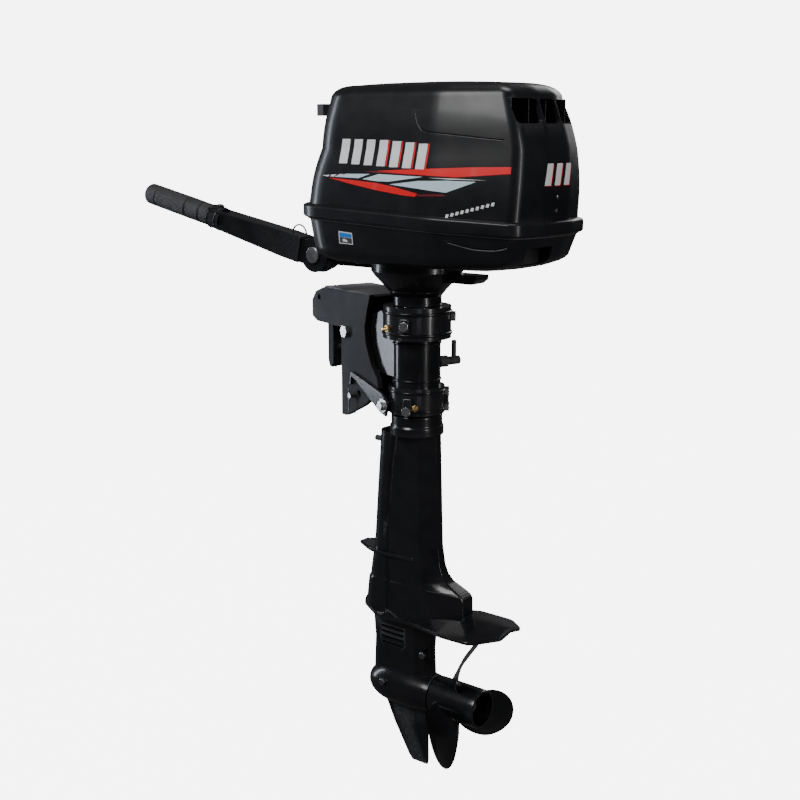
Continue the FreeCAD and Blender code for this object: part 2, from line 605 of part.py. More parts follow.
def gear_train():
    shaft = rod("DriveRod", "shaft_radius", 0, 0, ("prop_z + 24", "ring_top + 23"))
    steered("drive_shaft", group("DriveShaft", shaft))
    tooth_cone = cone("PinionCone", 5, 9, 0, 0, ("prop_z + 10.6", "prop_z + 19"))
    hub = rod("PinionHub", 9, 0, 0, ("prop_z + 19", "prop_z + 27"))
    seat = rod("PinionSeat", "shaft_radius", 0, 0, ("prop_z + 24", "prop_z + 30"))
    steered("pinion_gear", cut("PinionGear", fuse("PinionSolid", tooth_cone, hub), seat))
    face = cone("GearFace", 19, 10, (-9.4, -5.1), 0, "prop_z")
    back = rod("GearBack", 19, (-18, -9.4), 0, "prop_z")
    bore = rod("GearBore", "prop_shaft_radius", (-20, -2), 0, "prop_z")
    steered("bevel_gear", cut("BevelGear", fuse("GearSolid", face, back), bore))
    long_rod = rod("PropRod", "prop_shaft_radius", (-34, 90), 0, "prop_z")
    end = rod("PropThread", 6, (90, 101), 0, "prop_z")
    steered("propeller_shaft", fuse("PropellerShaft", long_rod, end))
    carrier = rod("CarrierOutside", "22 - run_gap", (14, 37), 0, "prop_z")
    way = rod("CarrierBore", "prop_shaft_radius + run_gap", (10, 40), 0, "prop_z")
    steered("bearing_carrier", cut("BearingCarrier", carrier, way))
    front = rod("FrontBearing", "12 - run_gap", (-34.5, -24), 0, "prop_z")
    front_way = rod("FrontBearingBore", "prop_shaft_radius + run_gap", (-36, -20), 0, "prop_z")
    upper = rod("ShaftBearing", "steering_bore - run_gap", 0, 0, ("ring_top", "ring_top + 12"))
    upper_way = rod("ShaftBearingBore", "shaft_radius + run_gap", 0, 0, ("ring_top - 1", "ring_top + 13"))
    steered("shaft_bearings", group("ShaftBearings", cut("FrontRing", front, front_way),
                                    cut("UpperRingBearing", upper, upper_way)))


# -------------------------------------------------------------- propeller
HUB_FRONT = 38.6
HUB_REAR = 116.0
OUTLET_FRONT = 77.0
BLADE_STATIONS = ((22, 40, 6.5), (45, 60, 5.0), (70, 62, 3.6), (88, 48, 2.6), (98.5, 24, 1.8))


def blade_section(radius, chord, thick):
    """Lens-shaped section across a blade, set at the pitch angle of its radius and raked aft with it."""
    pitch = math.atan(size("blade_pitch") / (2 * math.pi * radius))
    along = Vector(-math.sin(pitch), math.cos(pitch), 0)
    across = Vector(math.cos(pitch), math.sin(pitch), 0)
    rake = 66 + 42 * (radius / size("blade_tip")) ** 2
    spots = []
    for share, depth in ((-0.5, 0), (-0.25, 0.4), (0, 0.5), (0.25, 0.4), (0.5, 0), (0.25, -0.4), (0, -0.5),
                         (-0.25, -0.4)):
        spots.append(Vector(rake, 0, radius) + along * (share * chord) + across * (depth * thick))
    upper = Part.BSplineCurve()
    upper.interpolate(spots[:5])
    lower = Part.BSplineCurve()
    lower.interpolate(spots[4:] + spots[:1])
    return Part.Wire([upper.toShape(), lower.toShape()])


def propeller():
    height = size("prop_z")
    centre = Vector(0, 0, height)
    blade = loft([blade_section(*station) for station in BLADE_STATIONS], smooth=True)
    reach = Part.makeCylinder(size("blade_tip"), 120, Vector(20, 0, 0), AXES["x"])
    blade = blade.common(reach)
    hub = Part.makeCylinder(size("hub_radius"), HUB_REAR - HUB_FRONT, Vector(HUB_FRONT, 0, height), AXES["x"])
    blades = [blade.rotated(Vector(), AXES["x"], 120 * index).translated(centre) for index in range(3)]
    outlet = Part.makeCylinder(23, HUB_REAR + 1 - OUTLET_FRONT, Vector(OUTLET_FRONT, 0, height), AXES["x"])
    bore = Part.makeCylinder(size("prop_shaft_radius"), 80, Vector(HUB_FRONT - 2, 0, height), AXES["x"])
    steered("propeller", shaped("Propeller", hub.fuse(blades).cut([outlet, bore]).removeSplitter()))
    nut = hexagon("NutBody", 11, (79, 94), 0, "prop_z")
    crown = rod("NutCrown", 9, (94, 99), 0, "prop_z")
    slot = box("NutSlot", (95.5, 100), (-12, 12), ("prop_z - 1.6", "prop_z + 1.6"))
    other_slot = box("NutSlotAcross", (95.5, 100), (-1.6, 1.6), ("prop_z - 12", "prop_z + 12"))
    thread = rod("NutThread", 6, (90, 102), 0, "prop_z")
    seat = rod("NutSeat", "prop_shaft_radius", (78, 90), 0, "prop_z")
    solid = cut("NutCastellated", fuse("NutSolid", nut, crown), slot, other_slot, thread, seat)
    pin = rod("CotterShank", 1.3, 97.5, 0, ("prop_z - 13", "prop_z + 13"))
    pin = cut("CotterPin", pin, rod("CotterClear", 6, (90, 101), 0, "prop_z"))
    steered("castle_nut", group("CastleNut", solid, pin))


# ------------------------------------------------------------- powerhead
def rim(offset):
    """Lift for a wire on the sloping plane of the cowl joint, raised or lowered by offset."""
    fall = size("rim_fall")
    height = size("rim_z") + offset
    return lambda point: Vector(point.x, point.y, height - fall * point.x)


def plan(lift, front=0.0, side=0.0, rear=0.0):
    """Plan outline of the powerhead, drawn in by the given amounts at its front, sides and rear."""
    nose = size("nose_x") + front
    flank = size("side_y") - side
    tail = size("tail_x") - rear
    corner = size("tail_y") - side * 0.8
    half = [(nose, -flank), (95, -flank), (tail, -corner), (tail + 11, -corner * 0.35)]
    points = half + [(across, -out) for across, out in reversed(half)]
    return rounded(points, [52, 110, 18, 60, 60, 18, 110, 52], lift)


ROPE_EXIT = -112
COWL_STATIONS = ((9, None, 0, 0, 0), (None, "shoulder_z", 16, 8, 3), (None, "roof_z - 14", 26, 20, 34),
                 (None, "roof_z - 3", 34, 30, 48), (None, "roof_z", 46, 44, 64))


def cowl_form(inset, drop):
    """Closed form of the cowl, drawn in by inset all round and lowered by drop at the roof."""
    wires = []
    for offset, height, front, side, rear in COWL_STATIONS:
        lift = rim(offset) if height is None else level(size(height) - drop)
        wires.append(plan(lift, front + inset, side + inset, rear + inset))
    return wires


def top_cowl():
    bead = size("bead_half")
    shell = size("shell")
    outside = loft(cowl_form(0, 0)).fuse(loft([plan(rim(-bead), -6, -6, -6), plan(rim(bead + 1), -6, -6, -6)]))
    inside = loft([plan(rim(-bead - 1), shell, shell, shell)] + cowl_form(shell, shell))
    shape = outside.cut(inside)
    middle = size("roof_z") - 38
    windows = [Part.makeBox(60, 42, 32, Vector(140, y - 21, middle - 16)) for y in (-48, 0, 48)]
    pull = Rotation(AXES["z"], size("rope_angle")).multVec(AXES["x"])
    exit_point = Vector(ROPE_EXIT, 0, size("rope_z"))
    rope_eye = Part.makeCylinder(3.5, 80, exit_point - pull * 40, pull)
    guide = Part.makeCylinder(12, 30, exit_point - pull * 14, pull)
    guide = guide.cut(inside)
    shape = shape.cut(windows).fuse(guide).cut(rope_eye).removeSplitter()
    steered("top_cowl", shaped("TopCowl", shape))


def lower_pan():
    bead = size("bead_half")
    wall = size("wall")
    floor = size("floor_z")
    outside = loft([plan(level(floor), 34, 32, 60), plan(level(floor + 10), 14, 12, 22),
                    plan(level(floor + 20), 5, 4, 8), plan(rim(-bead - 2), 0, 0, 0)])
    inside = loft([plan(level(floor + 6), 34 + wall, 32 + wall, 60 + wall),
                   plan(level(floor + 16), 14 + wall, 12 + wall, 22 + wall),
                   plan(level(floor + 22), 5 + wall, 4 + wall, 8 + wall), plan(rim(-bead), wall, wall, wall)])
    shape = outside.cut(inside)
    centre = Part.makeCylinder(38, 20, Vector(0, 0, floor - 5))
    recess = Part.makeBox(50, 50, 22, Vector(180, -48, floor + 9))
    holes = [Part.makeCylinder(radius, 40, Vector(-150, y, size("rim_z") - 30), AXES["x"])
             for radius, y in ((4.3, 6), (4.3, 24), (4.3, 42))]
    shape = shape.cut([centre, recess] + holes)
    steered("lower_pan", shaped("LowerPan", shape))
    seal = loft([plan(rim(-bead - 2), -2, -2, -2), plan(rim(-bead - 0.3), -2, -2, -2)])
    gap = loft([plan(rim(-bead - 3), 5, 5, 5), plan(rim(-bead + 1), 5, 5, 5)])
    steered("cowl_seal", shaped("CowlSeal", seal.cut(gap)))


def cowl_latch():
    lever = box("LatchLever", (187, 191), (-44, -2), ("floor_z + 9.5", "floor_z + 28"))
    pin = rod("LatchPin", 2.5, 189, (-47.5, 1.5), "floor_z + 28")
    steered("cowl_latch", fuse("CowlLatch", lever, pin))


def pan_controls():
    height = "rim_z - 30"
    stop = rod("StopStem", 4, (-136, -118), 24, height)
    cap = rod("StopCap", 8, (-144, -136), 24, height)
    steered("stop_button", fuse("StopButton", stop, cap))
    stem = rod("ChokeStem", 4, (-136, -100), 6, height)
    knob = rod("ChokeCap", 9, (-150, -136), 6, height)
    steered("choke_knob", fuse("ChokeKnob", stem, knob))
    spindle = rod("TapSpindle", 4, (-138, -112), 42, height)
    lever = box("TapLever", (-143, -138), (38, 46), ("rim_z - 50", "rim_z - 26"))
    steered("fuel_tap_lever", fuse("FuelTap", spindle, lever))


# ----------------------------------------------------------------- engine
def engine():
    case = box("CaseBlock", (-54, 50), (-46, 46), ("floor_z + 8", 216))
    room = rod("CaseRoom", 38, 0, 0, (124, 206))
    way = rod("CaseBore", "crank_radius + run_gap", 0, 0, (100, 230))
    window = rod("CaseWindow", 29, (20, 60), 0, "crank_z")
    foot = box("CaseFoot", (-54, 50), (-46, 46), ("floor_z + 6", "floor_z + 8"))
    steered("crankcase", cut("Crankcase", fuse("CaseSolid", case, foot), room, way, window))
    barrel = rod("Barrel", 35, (50, 112), 0, "crank_z")
    fins = [box(f"Fin{index}", (f"56 + {step}", f"59 + {step}"), (-45, 45), ("crank_z - 43", "crank_z + 43"))
            for index, step in enumerate(range(0, 50, 9))]
    bore = rod("CylinderBore", 28, (45, 115), 0, "crank_z")
    steered("cylinder", cut("Cylinder", fuse("CylinderSolid", barrel, *fins), bore))
    crown = rod("PistonCrown", 27.8, (62, 90), 0, "crank_z")
    skirt = rod("PistonInside", 23, (60, 84), 0, "crank_z")
    steered("piston", cut("Piston", crown, skirt))
    head = box("HeadBlock", (112, 138), (-42, 42), ("crank_z - 40", "crank_z + 40"))
    steered("cylinder_head", group("CylinderHead", head))
    cover = box("CoverBlock", (138, 158), (-34, 34), ("crank_z - 33", "crank_z + 33"))
    steered("rocker_cover", group("RockerCover", cover))
    plug = rod("PlugBody", 5, 125, (42, 52), "crank_z")
    flats = hexagon("PlugHex", 9, 125, (52, 58), "crank_z")
    boot = rod("PlugCap", 8, 125, (58, 78), "crank_z")
    steered("spark_plug", fuse("SparkPlug", plug, flats, boot))
    throat = rod("Throat", 14, (-102, -54), 26, "crank_z")
    bowl = rod("Bowl", 16, -78, 26, ("crank_z - 36", "crank_z"))
    cap = rod("SlideCap", 12, -78, 26, ("crank_z", "crank_z + 30"))
    bore = rod("ThroatBore", 9, (-105, -50), 26, "crank_z")
    steered("carburettor", cut("Carburettor", fuse("CarbSolid", throat, bowl, cap), bore))
    muffler = box("MufflerBlock", (56, 116), (-80, -50), ("crank_z - 40", "crank_z + 10"))
    pipe = rod("MufflerPipe", 8, 125, (-66, -42), "crank_z - 20")
    elbow = box("MufflerElbow", (116, 133), (-74, -58), ("crank_z - 28", "crank_z - 12"))
    steered("muffler", fuse("Muffler", muffler, pipe, elbow))
    tank = box("TankBlock", (66, 160), (-56, 56), ("crank_z + 43", 262))
    neck = rod("TankNeck", 14, 118, 20, (262, 268))
    steered("fuel_tank", fuse("FuelTank", tank, neck))
    steered("tank_cap", group("TankCap", rod("CapBody", 18, 118, 20, (268, 280))))
    coil = box("CoilBlock", (-20, 20), (64, 82), (216, 246))
    strap = box("CoilStrap", (-20, 20), (30, 82), (216, 219))
    steered("ignition_coil", fuse("IgnitionCoil", coil, strap))


def crank_train():
    journal = rod("Journal", "crank_radius", 0, 0, (110, 256))
    nose = rod("CrankNose", 7, 0, 0, ("ring_top + 24", 110))
    webs = [rod(f"Web{low}", 30, 0, 0, (low, low + 10)) for low in (140, 176)]
    pin = rod("CrankPin", 8, 18, 0, (150, 176))
    middle = rod("WebGap", 10.5, 0, 0, (150, 176))
    shaft = cut("CrankWithGap", fuse("CrankSolid", journal, nose, *webs), middle)
    steered("crankshaft", fuse("Crankshaft", shaft, pin))
    low = "flywheel_z"
    wheel = revolved("Flywheel", [("crank_radius", low), ("flywheel_radius", low), ("flywheel_radius", f"{low} + 26"),
                                  ("flywheel_radius - 8", f"{low} + 26"), ("flywheel_radius - 10", f"{low} + 8"),
                                  (30, f"{low} + 8"), (30, f"{low} + 58"), (27, f"{low} + 58"), (27, f"{low} + 8"),
                                  (16, f"{low} + 8"), (16, f"{low} + 24"), ("crank_radius", f"{low} + 24")])
    steered("flywheel", wheel)
    drum = rod("DrumOutside", 32, 0, 0, ("ring_top + 20", "floor_z - 14"))
    room = rod("DrumInside", 29, 0, 0, ("ring_top + 23", "floor_z - 10"))
    seat = rod("DrumSeat", "shaft_radius", 0, 0, ("ring_top", "ring_top + 30"))
    steered("clutch_drum", cut("ClutchDrum", drum, room, seat))
    shoe_ring = rod("ShoeOutside", 27.5, 0, 0, ("ring_top + 26", "floor_z - 16"))
    gap = box("ShoeGap", (-2, 2), (-30, 30), (60, 100))
    shoe_bore = rod("ShoeInside", 7, 0, 0, (60, 100))
    steered("clutch_shoes", cut("ClutchShoes", shoe_ring, gap, shoe_bore))


def recoil_starter():
    """Starter under the roof: pulley on its post, rope led out tangentially, handle outside."""
    post = rod("StarterPost", 6, 0, 0, ("rope_z - 30", "roof_z - 3"))
    disc = rod("StarterDisc", 44, 0, 0, ("rope_z + 8", "rope_z + 11"))
    foot = rod("StarterFoot", 20, 0, 0, ("rope_z + 11", "roof_z - 3"))
    steered("starter_cover", fuse("StarterCover", post, disc, foot))
    pulley = revolved("StarterPulley", [("6 + run_gap", "rope_z - 7"), (39, "rope_z - 7"), (39, "rope_z - 4"),
                                        ("pulley_radius - 2.5", "rope_z - 3"), ("pulley_radius - 2.5", "rope_z + 3"),
                                        (39, "rope_z + 4"), (39, "rope_z + 7"), ("6 + run_gap", "rope_z + 7")])
    steered("starter_pulley", pulley)
    rope = rod("RopeRun", 1.6, (-150, 90), "-pulley_radius", "rope_z")
    grip = box("GripBar", (-158, -141), ("-pulley_radius - 26", "26 - pulley_radius"), ("rope_z - 8", "rope_z + 8"))
    neck = rod("GripNeck", 6, (-141, -130), "-pulley_radius", "rope_z")
    handle = fuse("HandleOnRope", rope, grip, neck)
    handle.Placement = Placement(Vector(), Rotation(AXES["z"], size("rope_angle")))
    tie(handle, "Placement.Rotation.Angle", "rope_angle")
    steered("starter_handle", group("StarterHandle", handle))


# ------------------------------------------------------------------ tiller
def on_tiller(name, thing):
    """Carry a piece drawn level about the tiller pivot to the pivot, at the tiller's rise."""
    thing.Placement = Placement(Vector(), Rotation(AXES["y"], size("tiller_rise")))
    tie(thing, "Placement.Base.x", "tiller_x")
    tie(thing, "Placement.Base.z", "tiller_z")
    tie(thing, "Placement.Rotation.Angle", "tiller_rise")
    return steered(name, group(f"{thing.Name}Place", thing))


def tiller():
    core = rod("HingeCore", 22, "tiller_x", (-24, -8), "tiller_z")
    ribs = [rod(f"HingeRib{index}", 25 - index, "tiller_x", (-24 + 4 * index, -21.5 + 4 * index), "tiller_z")
            for index in range(4)]
    foot = slab("HingeFoot", [("tiller_x", "floor_z - 12"), ("tiller_x + 88", "floor_z - 12"),
                              ("tiller_x + 88", "floor_z"),
                              ("tiller_x + 50", "floor_z"), ("tiller_x + 27", "floor_z + 5"),
                              ("tiller_x", "floor_z + 5")], (-20, 16))
    bore = rod("HingeBore", 6, "tiller_x", (-30, 20), "tiller_z")
    steered("tiller_bracket", cut("TillerBracket", fuse("HingeSolid", core, *ribs, foot), bore))
    shank = rod("TillerBoltShank", 6, "tiller_x", (-41, 20), "tiller_z")
    head = rod("TillerBoltHead", 11, "tiller_x", (-44, -40.3), "tiller_z")
    steered("tiller_pivot_bolt", fuse("TillerBolt", shank, head))
    cheek = rod("ArmCheek", 24, 0, (-40, -24.3), 0)
    neck = box("ArmNeck", (-32, 0), (-40, -24.3), (-17, 17))
    beam = slab("ArmBeam", [("-arm_length + 8", -13), (-60, -18), (-27, -18), (-27, 18), (-60, 18),
                            ("-arm_length + 8", 13)], (-42, -14))
    collar = rod("ArmCollar", "grip_radius + 1", ("-arm_length", "-arm_length + 26"), -28, 0)
    spindle = rod("ArmSpindle", 9, ("-arm_length - grip_length + 8", "-arm_length"), -28, 0)
    hole = rod("ArmHole", "6 + run_gap", 0, (-50, -20), 0)
    arm = cut("TillerArm", fuse("ArmSolid", cheek, neck, beam, collar, spindle), hole)
    on_tiller("tiller_arm", arm)
    bend = Part.Wire([Part.Arc(Vector(-55, -28, 18), Vector(-42, -28, 31), Vector(-29, -28, 18)).toShape()])
    section = Part.Wire([Part.Circle(Vector(-55, -28, 18), AXES["z"], 1.2).toShape()])
    on_tiller("arm_wire_loop", shaped("WireLoop", bend.makePipeShell([section], True, False)))
    grip = revolved("GripBody", [("-arm_length - grip_length", 0), ("-arm_length - grip_length", "grip_radius - 3"),
                                 ("3 - arm_length - grip_length", "grip_radius"), ("-arm_length - 0.4", "grip_radius"),
                                 ("-arm_length - 0.4", "9 + run_gap"),
                                 ("7.5 - arm_length - grip_length", "9 + run_gap"),
                                 ("7.5 - arm_length - grip_length", 0)], "H_Axis")
    grip.Placement = Placement(Vector(0, -28, 0), Rotation())
    on_tiller("twist_grip", group("GripLevel", grip))


clamp_bracket()
clamp_fastenings()
clamp_screw()
swivel_bracket()
swivel_fittings()
reverse_lock_hook()
friction_lever()
steering_column()
leg_housing()
water_pump()
gearcase()
gear_train()
propeller()
top_cowl()
lower_pan()
cowl_latch()
pan_controls()
engine()
crank_train()
recoil_starter()
tiller()
doc.recompute()

# ----------------------------------------------------------- check and write
for thing in doc.Objects:
    if "Invalid" in thing.State or "Error" in thing.State:
        raise RuntimeError(f"{thing.Name} did not recompute: {thing.State}")
for piece in PIECES:
    if piece.Shape.isNull() or not piece.Shape.isValid() or not piece.Shape.Solids:
        raise RuntimeError(f"{piece.Label} has no sound solid")

os.makedirs("parts", exist_ok=True)
for piece in PIECES:
    piece.Shape.exportStep(f"parts/{piece.Label}.step")
print(len(PIECES), "pieces written")
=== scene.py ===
"""Looks of a portable outboard motor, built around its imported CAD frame.

Shapes are drawn in millimetres, X aft, Y to starboard and Z up. Pieces of the motor are drawn about the steering
axis and carried to it, as the CAD carries them; pieces of the clamp and swivel are drawn in the row's own frame.
"""

import json
import math

import bmesh
import bpy
from bpy.props import FloatProperty, FloatVectorProperty, IntProperty, PointerProperty
from mathutils import Matrix, Vector
from mathutils.bvhtree import BVHTree


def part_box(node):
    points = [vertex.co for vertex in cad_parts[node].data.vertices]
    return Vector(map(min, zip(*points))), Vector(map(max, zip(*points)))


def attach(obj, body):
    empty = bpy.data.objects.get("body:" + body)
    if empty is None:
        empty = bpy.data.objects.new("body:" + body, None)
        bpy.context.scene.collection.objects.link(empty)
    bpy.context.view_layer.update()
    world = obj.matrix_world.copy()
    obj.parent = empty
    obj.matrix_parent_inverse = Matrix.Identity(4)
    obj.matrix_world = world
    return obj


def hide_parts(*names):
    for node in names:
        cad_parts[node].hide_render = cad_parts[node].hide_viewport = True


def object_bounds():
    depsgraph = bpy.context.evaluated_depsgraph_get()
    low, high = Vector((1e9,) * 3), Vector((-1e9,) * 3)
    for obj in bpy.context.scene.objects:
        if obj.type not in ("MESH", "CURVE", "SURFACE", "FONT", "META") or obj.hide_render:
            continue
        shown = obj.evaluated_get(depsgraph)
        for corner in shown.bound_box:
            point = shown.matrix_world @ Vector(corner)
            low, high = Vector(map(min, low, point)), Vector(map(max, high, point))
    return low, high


bl_info = {
    "name": "Outboard Motor Looks",
    "version": (1, 0, 0),
    "blender": (4, 5, 0),
    "location": "3D View > Sidebar > Outboard",
    "description": "Builds the visible pieces and finishes of a portable outboard motor",
    "category": "Object",
}

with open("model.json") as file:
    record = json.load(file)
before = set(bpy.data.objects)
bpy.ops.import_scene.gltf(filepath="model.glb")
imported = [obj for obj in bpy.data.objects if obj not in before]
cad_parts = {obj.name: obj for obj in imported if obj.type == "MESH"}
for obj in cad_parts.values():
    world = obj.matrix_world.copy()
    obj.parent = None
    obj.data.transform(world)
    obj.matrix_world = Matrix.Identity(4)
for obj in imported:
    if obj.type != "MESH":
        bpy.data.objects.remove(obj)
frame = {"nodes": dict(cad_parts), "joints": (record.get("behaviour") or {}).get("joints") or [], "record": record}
CAD_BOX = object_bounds()
MM = 0.001
JOINTS = {joint["name"]: joint for joint in frame["joints"]}
AFT = Vector(JOINTS["propeller_spin"]["axis"])
PIVOT = Vector(JOINTS["steering"]["pos_m"])
MOTOR = Matrix.Translation(PIVOT) @ Matrix.Rotation(math.atan2(AFT.y, AFT.x), 4, "Z") @ Matrix.Scale(MM, 4)
ROW = Matrix.Scale(MM, 4)
PROP_Z = JOINTS["propeller_spin"]["pos_m"][2] / MM
SHARP_ANGLE = math.radians(50)
FLAT_ANGLE = math.radians(1.5)
WELD_GAP = 2e-6


def height(node, top=True):
    """Highest or lowest level of a CAD node, in millimetres."""
    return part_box(node)[1 if top else 0].z / MM


# ------------------------------------------------------------------ settings
class OutboardSizes(bpy.types.PropertyGroup):
    """Sizes of the shapes that the CAD leaves plain, in millimetres."""
    nose: FloatProperty(name="Cowl nose", description="Front of the powerhead", default=-130)
    flank: FloatProperty(name="Cowl flank", description="Half width of the powerhead", default=100, min=60)
    tail: FloatProperty(name="Cowl tail", description="Rear corner of the powerhead", default=202)
    tail_half: FloatProperty(name="Rear panel", description="Half width of the rear panel", default=76, min=30)
    rim: FloatProperty(name="Cowl joint", description="Height of the joint over the steering axis", default=166)
    rim_fall: FloatProperty(name="Joint fall", description="Fall of the joint per millimetre aft", default=0.044)
    shoulder: FloatProperty(name="Shoulder", description="Height of the rear shoulder", default=252)
    shell: FloatProperty(name="Shell", description="Wall of the plastic cowl", default=3, min=1.5)
    crown: FloatProperty(name="Crown", description="Rise of the roof's middle", default=4, min=0)
    bulge: FloatProperty(name="Bulge", description="Outward curve of the cowl's sides", default=2.2, min=0)
    bevel: FloatProperty(name="Casting edge", description="Rounding of cast edges", default=1.4, min=0.2)
    grip_rings: IntProperty(name="Grip flutes", description="Flutes round the twist grip", default=30, min=8)
    blades: IntProperty(name="Blades", description="Blades of the propeller", default=3, min=2, max=5)
    pitch: FloatProperty(name="Pitch", description="Pitch of the propeller", default=152, min=50)


class OutboardColours(bpy.types.PropertyGroup):
    """Colours of the finishes."""
    cowl: FloatVectorProperty(name="Cowl", description="Gloss black plastic", subtype="COLOR", min=0, max=1,
                              default=(0.0045, 0.0048, 0.0066))
    casting: FloatVectorProperty(name="Casting", description="Black paint on castings", subtype="COLOR", min=0,
                                 max=1, default=(0.0035, 0.0037, 0.005))
    stripe: FloatVectorProperty(name="Stripe", description="Red of the side stripes", subtype="COLOR", min=0,
                                max=1, default=(0.83, 0.006, 0.010))
    facet: FloatVectorProperty(name="Facet", description="Pale blue of the side stripes", subtype="COLOR", min=0,
                               max=1, default=(0.60, 0.78, 0.88))
    label: FloatVectorProperty(name="Label", description="Blue of the plate on the pan", subtype="COLOR", min=0,
                               max=1, default=(0.02, 0.22, 0.72))


def sizes():
    return bpy.context.scene.outboard_sizes


def colours():
    return bpy.context.scene.outboard_colours


# --------------------------------------------------------------- node groups
def start_group(name, inputs, outputs):
    """New shader node group with its sockets; returns it with its input and output nodes."""
    group = bpy.data.node_groups.new(name, "ShaderNodeTree")
    for label, kind, default in inputs:
        socket = group.interface.new_socket(label, in_out="INPUT", socket_type=kind)
        socket.default_value = default
    for label, kind in outputs:
        group.interface.new_socket(label, in_out="OUTPUT", socket_type=kind)
    return group, group.nodes.new("NodeGroupInput"), group.nodes.new("NodeGroupOutput")


def math_node(tree, operation, first, second):
    node = tree.nodes.new("ShaderNodeMath")
    node.operation = operation
    for socket, value in zip(node.inputs, (first, second)):
        if isinstance(value, (int, float)):
            socket.default_value = value
        else:
            tree.links.new(value, socket)
    return node.outputs[0]


def noise_node(tree, scale, detail=3.0):
    """Noise over the piece's own coordinates, in cycles per metre."""
    place = tree.nodes.new("ShaderNodeTexCoord").outputs["Object"]
    noise = tree.nodes.new("ShaderNodeTexNoise")
    noise.inputs["Detail"].default_value = detail
    tree.links.new(place, noise.inputs["Vector"])
    if isinstance(scale, (int, float)):
        noise.inputs["Scale"].default_value = scale
    else:
        tree.links.new(scale, noise.inputs["Scale"])
    return noise.outputs["Fac"]


def mix_colour(tree, share, low, high):
    node = tree.nodes.new("ShaderNodeMix")
    node.data_type = "RGBA"
    for socket, value in ((node.inputs["Factor"], share), (node.inputs["A"], low), (node.inputs["B"], high)):
        if hasattr(value, "is_output"):
            tree.links.new(value, socket)
        else:
            socket.default_value = value
    return node.outputs["Result"]


def shade_group():
    """Slow drift of colour and roughness, as moulding and handling leave them."""
    inputs = [("Colour", "NodeSocketColor", (0.5, 0.5, 0.5, 1)), ("Spread", "NodeSocketFloat", 0.2),
              ("Roughness", "NodeSocketFloat", 0.4), ("Roughness Spread", "NodeSocketFloat", 0.1),
              ("Scale", "NodeSocketFloat", 30.0)]
    tree, source, sink = start_group("Surface Drift", inputs,
                                     [("Colour", "NodeSocketColor"), ("Roughness", "NodeSocketFloat")])
    drift = noise_node(tree, source.outputs["Scale"])
    lighter = mix_colour(tree, 1.0, source.outputs["Colour"], (1, 1, 1, 1))
    share = math_node(tree, "MULTIPLY", drift, math_node(tree, "MULTIPLY", source.outputs["Spread"], 0.1))
    tree.links.new(mix_colour(tree, share, source.outputs["Colour"], lighter), sink.inputs["Colour"])
    around = math_node(tree, "SUBTRACT", drift, 0.5)
    swing = math_node(tree, "MULTIPLY", around, source.outputs["Roughness Spread"])
    tree.links.new(math_node(tree, "ADD", source.outputs["Roughness"], swing), sink.inputs["Roughness"])
    return tree


def wear_group():
    """Bare or rubbed colour where edges stand out, broken up by noise."""
    inputs = [("Colour", "NodeSocketColor", (0, 0, 0, 1)), ("Rubbed", "NodeSocketColor", (0.3, 0.3, 0.3, 1)),
              ("Amount", "NodeSocketFloat", 0.5)]
    tree, source, sink = start_group("Edge Wear", inputs, [("Colour", "NodeSocketColor"),
                                                           ("Mask", "NodeSocketFloat")])
    point = tree.nodes.new("ShaderNodeNewGeometry").outputs["Pointiness"]
    ramp = tree.nodes.new("ShaderNodeMapRange")
    ramp.inputs["From Min"].default_value = 0.52
    ramp.inputs["From Max"].default_value = 0.62
    tree.links.new(point, ramp.inputs["Value"])
    broken = math_node(tree, "MULTIPLY", ramp.outputs["Result"], noise_node(tree, 260.0, 4.0))
    mask = math_node(tree, "MULTIPLY", broken, source.outputs["Amount"])
    tree.links.new(mix_colour(tree, mask, source.outputs["Colour"], source.outputs["Rubbed"]),
                   sink.inputs["Colour"])
    tree.links.new(mask, sink.inputs["Mask"])
    return tree


def grain_group():
    """Normal of a fine surface grain with a broader one under it."""
    inputs = [("Scale", "NodeSocketFloat", 400.0), ("Coarse", "NodeSocketFloat", 0.3),
              ("Strength", "NodeSocketFloat", 0.1)]
    tree, source, sink = start_group("Surface Grain", inputs, [("Normal", "NodeSocketVector")])
    fine = noise_node(tree, source.outputs["Scale"], 4.0)
    broad = noise_node(tree, math_node(tree, "MULTIPLY", source.outputs["Scale"], 0.12), 2.0)
    total = math_node(tree, "ADD", fine, math_node(tree, "MULTIPLY", broad, source.outputs["Coarse"]))
    bump = tree.nodes.new("ShaderNodeBump")
    bump.inputs["Distance"].default_value = 0.0006
    tree.links.new(source.outputs["Strength"], bump.inputs["Strength"])
    tree.links.new(total, bump.inputs["Height"])
    tree.links.new(bump.outputs["Normal"], sink.inputs["Normal"])
    return tree


GROUPS = {}


def group_node(tree, name, values):
    """Place a shared node group in a material with its own values."""
    makers = {"Surface Drift": shade_group, "Edge Wear": wear_group, "Surface Grain": grain_group}
    if name not in GROUPS:
        GROUPS[name] = makers[name]()
    node = tree.nodes.new("ShaderNodeGroup")
    node.node_tree = GROUPS[name]
    for label, value in values.items():
        if hasattr(value, "is_output"):
            tree.links.new(value, node.inputs[label])
        else:
            node.inputs[label].default_value = value
    return node


# ----------------------------------------------------------------- finishes
COAT_ROUGHNESS = 0.12
ROUGHNESS_SPREAD = 0.14
DRIFT_SCALE = 42.0
SPECULAR = 0.5
BLACK_SPECULAR = 0.3
BLACK_FINISHES = ("gloss_cowl", "black_paint", "satin_paint")

